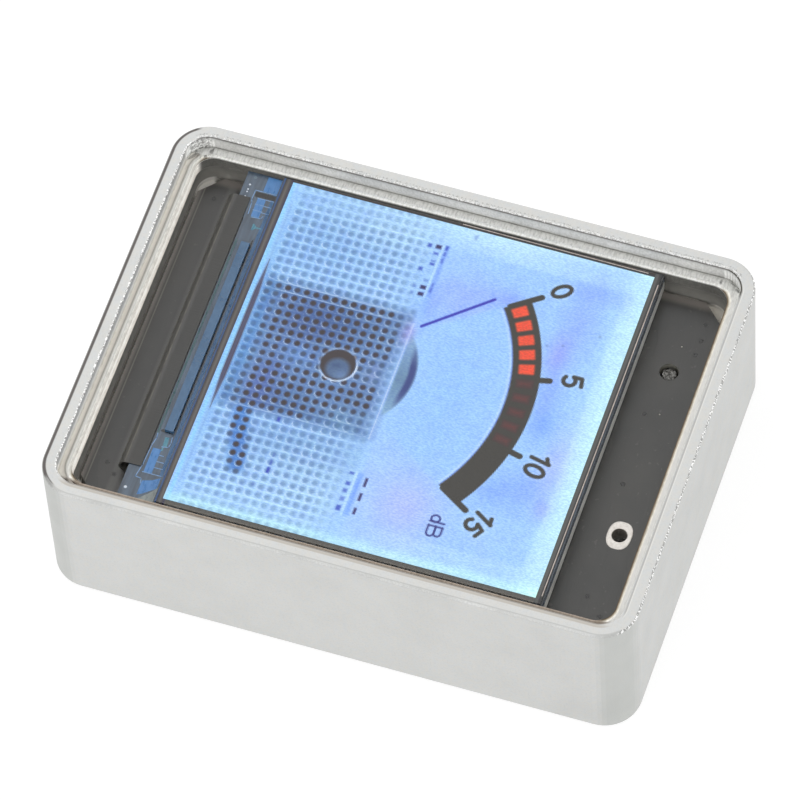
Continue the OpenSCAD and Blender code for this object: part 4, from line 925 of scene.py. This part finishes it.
def dial_pointer(p, x, y):
    """The needle and its hub."""
    p.paint(cover(stroke_distance(x, y, NEEDLE) - 0.1, 0.13), (62, 60, 176))
    dx, dy = x - HUB[0], y - HUB[1]
    hub = np.hypot(dx, dy)
    bright = np.clip(dx * 0.5 + dy * 0.35 + 0.5, 0.3, 1)
    p.paint(cover(np.abs(hub - HUB_R - 0.1) - 0.06, 0.12) * bright, (216, 232, 252))
    p.paint(cover(hub - HUB_R), (90, 86, 88))
    core = np.hypot(dx - 0.34, dy - 0.08)
    p.paint(cover(core - 0.86, 0.36) * cover(hub - HUB_R + 0.06) * 0.9, (104, 126, 160))
    p.paint(blob(dx, dy, 0.1, -0.1, 0.3, 0.5) * 0.5, (82, 94, 128))
    p.paint(blob(dx, dy, 0.8, 0.5, 0.4, 0.5) * 0.5, (128, 156, 200))


def dial_marks(p, x, y):
    """The two small windows, the lower edge of the plate and three specks."""
    for row in WINDOWS:
        p.box(*row)
    for cx, cy, half_x, half_y, strength in DASHES:
        box = cx - half_x, cy - half_y, cx + half_x, cy + half_y
        p.box(box, 0.14, strength, (70, 84, 186) if strength < 0.9 else (68, 60, 112))
    # The lower edge: a dark lens-shaped bar, blue above it, then the bright sill.
    swell = unit(1 - np.abs(x + 0.75) / 6.6)
    p.box((-7, -12.3, 5.4, -12.15), 0.3, 0.5, (116, 160, 220))
    bar = cover(np.abs(y + 12.45) - 0.2 * np.minimum(swell * 2.2, 1), 0.14) * (swell > 0)
    p.paint(bar * 0.95, (94, 86, 98))
    p.box((-12.2, -12.5, 12, -12.4), 0.2, 0.3, (116, 146, 198))
    p.paint(cover(np.abs(y + 12.84) - 0.12, 0.2) * 0.6, (150, 218, 250))
    for cx, cy in SPECKS:
        p.paint(blob(x, y, cx, cy, 0.12, 0.12) * 0.35, (96, 112, 160))


def add_piece(name, points, faces, material):
    """A mesh, its points in millimetres, that rides on the housing."""
    mesh = bpy.data.meshes.new(name)
    mesh.from_pydata([tuple(float(c) * MM for c in p) for p in points], [], faces)
    mesh.materials.append(material)
    piece = bpy.data.objects.new(name, mesh)
    scene.collection.objects.link(piece)
    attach(piece, "housing")
    return piece


def picture_material():
    """The picture's own light, under the weave and the clouds of the screen."""
    s = Shade(
        "dial_light", Specular_IOR_Level=GLOSS_UNDER, Roughness=0.35,
        Base_Color=shader_colour(0), Emission_Strength=1,
    )
    fibre = s.noise(7, 3, stretch=(1.5, 0.6, 1), rough=0.65)
    patch = s.noise(0.9, 4, shift=4, rough=0.6)
    weave = s.ramp(fibre, (0.37, (0.78, 0.84, 0.95, 1)), (0.63, (1.18, 1.13, 1.02, 1)))
    cloud = s.ramp(patch, (0.35, (0.95, 0.94, 1, 1)), (0.65, (1.04, 1.04, 1, 1)))
    lit = s.add("Attribute", attribute_name="lit").outputs["Color"]
    s.set("Emission Color", s.stain(s.stain(lit, weave), cloud))
    return s.material


def build_dial():
    """The lit picture, one face a pixel, on the display's front."""
    gx, gy = np.meshgrid(np.linspace(*PICTURE_X, PIXELS + 1), np.linspace(*PICTURE_Y, PIXELS + 1))
    right = (gx - PICTURE_X[0]) / (PICTURE_X[1] - PICTURE_X[0])
    high = (gy - PICTURE_Y[0]) / (PICTURE_Y[1] - PICTURE_Y[0])
    gx = gx + PICTURE_LEAN * (1 - right) * (2 * high - 1)
    gy = gy + PICTURE_LEAN * (1 - high) * (1 - 2 * right)
    points = np.stack([gx, gy, np.full_like(gx, PICTURE_Z)], -1).reshape(-1, 3)
    corner = (np.arange(PIXELS)[:, None] * (PIXELS + 1) + np.arange(PIXELS)).ravel()
    faces = np.stack([corner, corner + 1, corner + PIXELS + 2, corner + PIXELS + 1], -1)
    x, y = ((g[1:, 1:] + g[:-1, :-1]) / 2 for g in (gx, gy))
    picture = Picture(x, y)
    for layer in (dial_ground, dial_grille, dial_bearing, dial_scale, dial_pointer, dial_marks):
        layer(picture, x, y)
    rgb = below_pane(np.clip(picture.rgb, 0, 255)).reshape(-1, 3)
    rgba = np.concatenate([rgb, np.ones((len(rgb), 1))], 1).repeat(4, 0)
    dial = add_piece("dial_picture", points.tolist(), faces.tolist(), picture_material())
    lit = dial.data.color_attributes.new("lit", "FLOAT_COLOR", "CORNER")
    lit.data.foreach_set("color", rgba.astype(np.float32).ravel())


# ---------- fine detail on the parts

LEDGE_Z = 11.1  # the rear glass, bare beside the picture
LEDGE_PADS = (  # corner to corner: blue conductors that carry the screen's light
    (-14.3, -13.66, -13.02, -14.94), (-12.33, -14.5, -10.74, -15.12), (9.85, -14.72, 11.94, -15.33),
)
LEDGE_TEAL = (  # outlines of the greenish marks
    ((-9.94, -14.02), (-9.84, -14.02), (-9.82, -14.42), (-9.62, -14.62),
     (-9.62, -14.72), (-10.16, -14.72), (-10.16, -14.62), (-9.96, -14.42)),
    ((8.75, -14.5), (9.55, -14.42), (9.6, -14.6), (9.95, -14.62), (9.95, -14.72), (8.8, -14.78)),
    ((11.98, -13.7), (12.62, -13.7), (12.62, -13.8), (11.98, -13.8)),
)
LEDGE_CREAM = (  # and of the sealant that shows in the corner
    ((12.7, -13.8), (14.2, -13.8), (14.35, -14.4), (14.1, -14.95), (13.5, -14.35), (13, -13.95)),
)
LEDGE_DARK = (
    (-8.8, -14.24, 8.1, -14.34),
    (-10.5, -15.62, 10.6, -15.56),
    (8.22, -14.42, 8.42, -15.25),
    (-12.86, -13.75, -12.44, -15.42),
)
LEDGE_LINES = (
    ((-12.97, -13.66), (-12.97, -15.5), (-12.15, -15.52), (-11.9, -15.42), (-10.9, -15.36)),
    ((-12.36, -13.8), (-12.36, -15.12)),
    ((-11.82, -14.46), (-11.82, -15.12)),
    ((-11.3, -14.46), (-11.3, -15.12)),
    ((-11.8, -14.46), (-11.8, -13.95), (-11.7, -13.86), (-11.3, -13.86), (-11.22, -13.95), (-11.22, -14.46)),
    ((-10.95, -14.24), (-10.72, -14.34), (-10.68, -15.05)),
    ((8.55, -15.42), (9, -15.36), (9.7, -15.5), (11.4, -15.58), (12.45, -15.76), (12.52, -15.3), (12.9, -15.22)),
    ((10.34, -14.4), (10.34, -14.72)),
    ((10.88, -14.2), (10.88, -14.72)),
    ((11.4, -14.1), (11.4, -14.7)),
    ((11.96, -13.98), (11.96, -15.4)),
    ((8.7, -14.3), (9.2, -14.22), (9.55, -14.3), (9.62, -14.76)),
)
LEDGE_WING = ((12.1, -13.96), (13.02, -13.96), (13.72, -14.86), (13.86, -15.18), (12.66, -15.18), (12.44, -14.5))
LEDGE_STRIP = (-13, -13.8, 12, -14.14)
LEDGE_SEALANT = (-8.6, -15.36, 8.6, -15.5)
LEDGE_DOTS = (
    (-13.32, -16.06, 0.085), (-12.9, -16.06, 0.07), (-12.68, -16.06, 0.065), (-12.25, -16.06, 0.07),
    (13.5, -16.14, 0.12),
)
LEDGE_MARK = (-14, -15.86, 0.12)
SCREEN_TOP_LINE = ((-13.35, 15), (0, 14.99), (13.6, 14.95))  # pale lines along the front polariser's edge
SCREEN_LEFT_LINE = ((-14.13, 14), (-14.25, 0))
BOARD_VIAS = (
    (-12.37, 18.89), (-10.97, 18.94), (-9.72, 18.89), (-3.92, 16.88), (2.1, 17.2), (11.6, 17.6), (12.9, 18.9),
    (11.1, -18.5), (11.9, -17.7), (-12.3, -18.6),
)
BOARD_SPECKS = ((-10.09, 17.79, 0.05), (-4.2, 17.97, 0.05))


def rectangle(x0, y0, x1, y1, cut=0.03):
    """The outline of a conductor, its corners cut."""
    x0, x1, y0, y1 = min(x0, x1), max(x0, x1), min(y0, y1), max(y0, y1)
    cut = min(cut, (x1 - x0) / 3, (y1 - y0) / 3)
    return (
        (x0 + cut, y0), (x1 - cut, y0), (x1, y0 + cut), (x1, y1 - cut),
        (x1 - cut, y1), (x0 + cut, y1), (x0, y1 - cut), (x0, y0 + cut),
    )


def ribbons(lines, half):
    """Outlines that make lines of even width, each along its own points."""
    made = []
    for (x0, y0), (x1, y1) in (ends for points in lines for ends in zip(points, points[1:])):
        length = np.hypot(x1 - x0, y1 - y0)
        ux, uy = (x1 - x0) / length * half, (y1 - y0) / length * half
        made.append((
            (x0 - ux - uy, y0 - uy + ux), (x0 - ux + uy, y0 - uy - ux),
            (x1 + ux + uy, y1 + uy - ux), (x1 + ux - uy, y1 + uy + ux),
        ))
    return made


def disc(x, y, radius, count=14, ragged=0):
    turn = np.arange(count) / count * 2 * np.pi
    reach = radius * (1 + ragged * np.sin(turn * 3 + x) * np.cos(turn * 2 + y))
    return [(x + r * np.cos(t), y + r * np.sin(t)) for r, t in zip(reach, turn)]


def raised(name, outlines, z, height, shade):
    """Thin printed or plated shapes, their tops drawn in a little from their feet."""
    points, faces = [], []
    for outline in outlines:
        outline = np.array(outline, float)
        area = np.sum(outline[:, 0] * np.roll(outline[:, 1], -1) - np.roll(outline[:, 0], -1) * outline[:, 1])
        if area < 0:
            outline = outline[::-1]
        middle = outline.mean(0)
        reach = np.linalg.norm(outline - middle, axis=1, keepdims=True)
        top = middle + (outline - middle) * (1 - np.minimum(height / np.maximum(reach, 1e-6), 0.3))
        start, count = len(points), len(outline)
        points += [(x, y, z) for x, y in outline] + [(x, y, z + height) for x, y in top]
        faces += [[start + i for i in reversed(range(count))], [start + count + i for i in range(count)]]
        faces += [[start + i for i in face] for face in tube(2, count)]
    add_piece(name, points, faces, shade.material)


def tube(rings, count, closed=False):
    """Faces that join rings of count points, each to the next, and the last to the first where closed."""
    faces = []
    for level in range(rings if closed else rings - 1):
        here, up = level * count, (level + 1) % rings * count
        for k in range(count):
            j = (k + 1) % count
            faces.append([here + k, here + j, up + j, up + k])
    return faces


def build_peg():
    """The domed locating pin, its top chipped, standing in the board's hole."""
    x, y, z = PEG
    rings, count = ((0, 1), (0.35, 1), (0.46, 0.86), (0.5, 0.5)), 28  # rise, share of the radius
    turns = [2 * np.pi * k / count for k in range(count)]
    points = []
    for rise, share in rings:
        for t in turns:
            r = PEG_R * share * (1 + 0.03 * np.sin(5 * t + rise * 20))
            chip = 0.03 * np.sin(3 * t + 1) * (rise > 0.4)
            points.append((x + r * np.cos(t), y + r * np.sin(t), z + rise + chip))
    points.append((x, y, z + 0.47))
    last = (len(rings) - 1) * count
    tip = [[last + k, last + (k + 1) % count, len(points) - 1] for k in range(count)]
    faces = [list(reversed(range(count)))] + tube(len(rings), count) + tip
    shade = plain_metal("pin_chipped", (150, 149, 145), (42, 41, 40), 0.4, 7, depth=0.08)
    add_piece("locating_pin", points, faces, shade.material)


def build_ring():
    """The ring that replaces the plain plating: an oval pad, rounded over, lining its hole."""
    x, y = RING
    low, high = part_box("sound_hole_plating")
    top, foot = high[2] / MM, low[2] / MM
    bore, count = RING_HOLE, 64
    rings = (  # half length, half width and height, from the foot of the bore up and round to the foot again
        (bore, bore, foot), (bore, bore, top - 0.02), (bore + 0.03, bore + 0.03, top), (1.08, 0.84, top),
        (1.13, 0.88, top - 0.015), (1.15, 0.9, BOARD_Z), (0.9, 0.8, BOARD_Z), (0.62, 0.62, foot),
    )
    points = []
    for half_x, half_y, z in rings:
        power = 1 if half_x < 0.7 else 0.8  # the pad is a little squarer than an ellipse
        for k in range(count):
            t = 2 * np.pi * k / count
            c, s = (np.sign(v) * abs(v) ** power for v in (np.cos(t), np.sin(t)))
            points.append((x + half_x * c, y + half_y * s, z))
    shade = plain_metal("tin_plate", (236, 232, 226), (214, 209, 202), 0.4, 6)
    faces = tube(len(rings), count, closed=True)
    ring = add_piece("sound_hole_ring", points, faces, shade.material)
    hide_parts("sound_hole_plating")


FILMS = (  # on the bare strip of glass and along the picture's edge: piece, material, colours, outlines, z, height
    ("ledge_pads", "conductor_blue", (116, 160, 214), (98, 142, 198),
     [rectangle(*r) for r in LEDGE_PADS] + [LEDGE_WING], LEDGE_Z, 0.004),
    ("ledge_lines", "conductor_edge", (150, 182, 220), (132, 164, 206), ribbons(LEDGE_LINES, 0.035), LEDGE_Z, 0.006),
    ("ledge_marks", "mark_teal", (122, 172, 186), (98, 146, 168), LEDGE_TEAL, LEDGE_Z, 0.005),
    ("ledge_seal", "seal_cream", (164, 170, 168), (146, 154, 154), LEDGE_CREAM, LEDGE_Z, 0.004),
    ("ledge_strips", "ledge_strip", (100, 132, 170), (84, 114, 150), [rectangle(*LEDGE_STRIP)], LEDGE_Z, 0.002),
    ("ledge_sealant_line", "ledge_sealant", (98, 122, 126), (84, 106, 112),
     [rectangle(*LEDGE_SEALANT)], LEDGE_Z, 0.012),
    ("ledge_gaps", "gap_black", (70, 72, 74), (62, 62, 64), [rectangle(*r) for r in LEDGE_DARK], LEDGE_Z, 0.003),
    ("screen_edge_line", "edge_line", (226, 214, 206), (196, 184, 176),
     ribbons([SCREEN_TOP_LINE], 0.035) + ribbons([SCREEN_LEFT_LINE], 0.03), SCREEN_Z, 0.004),
    ("ledge_dots", "registration_white", (240, 246, 252), (220, 230, 244),
     [disc(*d) for d in LEDGE_DOTS], LEDGE_Z, 0.006),
    ("ledge_targets", "registration_grey", (134, 148, 158), (118, 132, 144), [disc(*LEDGE_MARK)], LEDGE_Z, 0.005),
)


def build_details():
    for name, material, colour, shadow, outlines, z, height in FILMS:
        raised(name, outlines, z, height, printed(material, under(*colour), under(*shadow)))
    vias = [disc(x, y, 0.13) for x, y in BOARD_VIAS]
    raised("board_vias", vias, BOARD_Z, 0.008, printed("via_mask", (6, 6, 6), (12, 12, 12)))
    rings = ribbons([arc_points(x, y, 0.17, 0.17, 0, 360, 15) for x, y in BOARD_VIAS], 0.02)
    ring = printed("via_ring", (62, 61, 58), (46, 46, 44))
    raised("board_via_rings", rings, BOARD_Z, 0.01, ring)
    specks = [disc(*d, ragged=0.5) for d in BOARD_SPECKS]
    dust = printed("solder_speck", (232, 228, 216), (180, 176, 166), Metallic=0.6)
    raised("board_specks", specks, BOARD_Z, 0.03, dust)


METALS = (  # CAD parts, then what plain_metal takes
    ("cover_screws", "screw_turned", (176, 176, 178), (140, 140, 142), 0.3, 5, (1, 1, 6)),
    ("sound_hole_plating", "tin_base", (232, 230, 226), (206, 202, 194), 0.3, 6),
    ("reflector_sheet", "reflector_film", (230, 230, 233), (212, 212, 216), 0.25, 2),
    ("usb_shell", "shell_rolled", (221, 221, 221), (200, 200, 200), 0.3, 4, (1, 5, 1)),
    ("usb_contacts", "gold_plate", (236, 208, 140), (222, 188, 116), 0.25, 8),
    ("switch_dome", "dome_spring", (226, 222, 210), (206, 200, 186), 0.25, 4),
)
MOULDINGS = (  # CAD parts, then what moulded takes
    ("board_pads display_tape", "foam_cells", (40, 40, 40), (22, 22, 22), 0.9, 7, 0.03),
    ("backlight_frame", "frame_resin", (226, 226, 222), (200, 200, 196), 0.5),
    ("light_guide", "guide_resin", (226, 236, 246), (210, 224, 238), 0.2, 3),
    ("optical_films", "diffuser_film", (236, 236, 238), (222, 222, 226), 0.6, 8),
    ("backlight_leds", "phosphor", (238, 226, 130), (222, 206, 100), 0.4, 9),
    ("rear_polariser", "rear_film", (88, 88, 92), (70, 70, 74), 0.4),
    ("controller_chip memory_chip voltage_regulator backlight_transistor",
     "chip_resin", (52, 52, 52), (34, 34, 34), 0.6, 10, 0.01),
    ("capacitors", "ceramic", (196, 172, 146), (168, 144, 118), 0.45, 8),
    ("resistors", "resistor_glaze", (54, 54, 58), (34, 34, 36), 0.35, 8),
    ("usb_tongue", "tongue_resin", (40, 40, 40), (26, 26, 26), 0.5),
    ("switch_housing", "switch_resin", (48, 48, 48), (32, 32, 32), 0.5),
    ("switch_plunger", "plunger_resin", (228, 224, 214), (208, 204, 192), 0.5),
)


def driver_finish():
    return moulded("driver_die", under(108, 134, 164), under(98, 122, 150), 0.3, 3, Specular_IOR_Level=GLOSS_UNDER)


def dress_all():
    """Gives every carried-over CAD part its finish."""
    finishes = [
        ("case", case_finish()),
        ("back_cover", blasted("cover_blasted", (217, 217, 215), (204, 204, 202))),
        ("button_cap", blasted("cap_blasted", (219, 219, 217), (206, 206, 204), 8)),
        ("window_pane", pane_finish()),
        ("window_adhesive", adhesive_finish()),
        ("main_board", board_finish()),
        ("microphone crystal", can_finish()),
        ("rear_glass", glass_finish("rear_cell", under(118, 130, 144), under(106, 114, 124))),
        ("front_glass", glass_finish("front_cell", under(118, 126, 136), under(96, 98, 100))),
        ("front_polariser", border_finish()),
        ("driver_chip", driver_finish()),
        ("display_flex", flex_finish()),
    ]
    finishes += [(names, plain_metal(*recipe)) for names, *recipe in METALS]
    finishes += [(names, moulded(*recipe)) for names, *recipe in MOULDINGS]
    for names, shade in finishes:
        for name in names.split():
            nodes[name].data.materials.clear()
            nodes[name].data.materials.append(shade.material)


# ---------- run

build_camera()
build_studio()
build_dial()
build_details()
build_peg()
build_ring()
dress_all()

scene.view_settings.view_transform = "Standard"
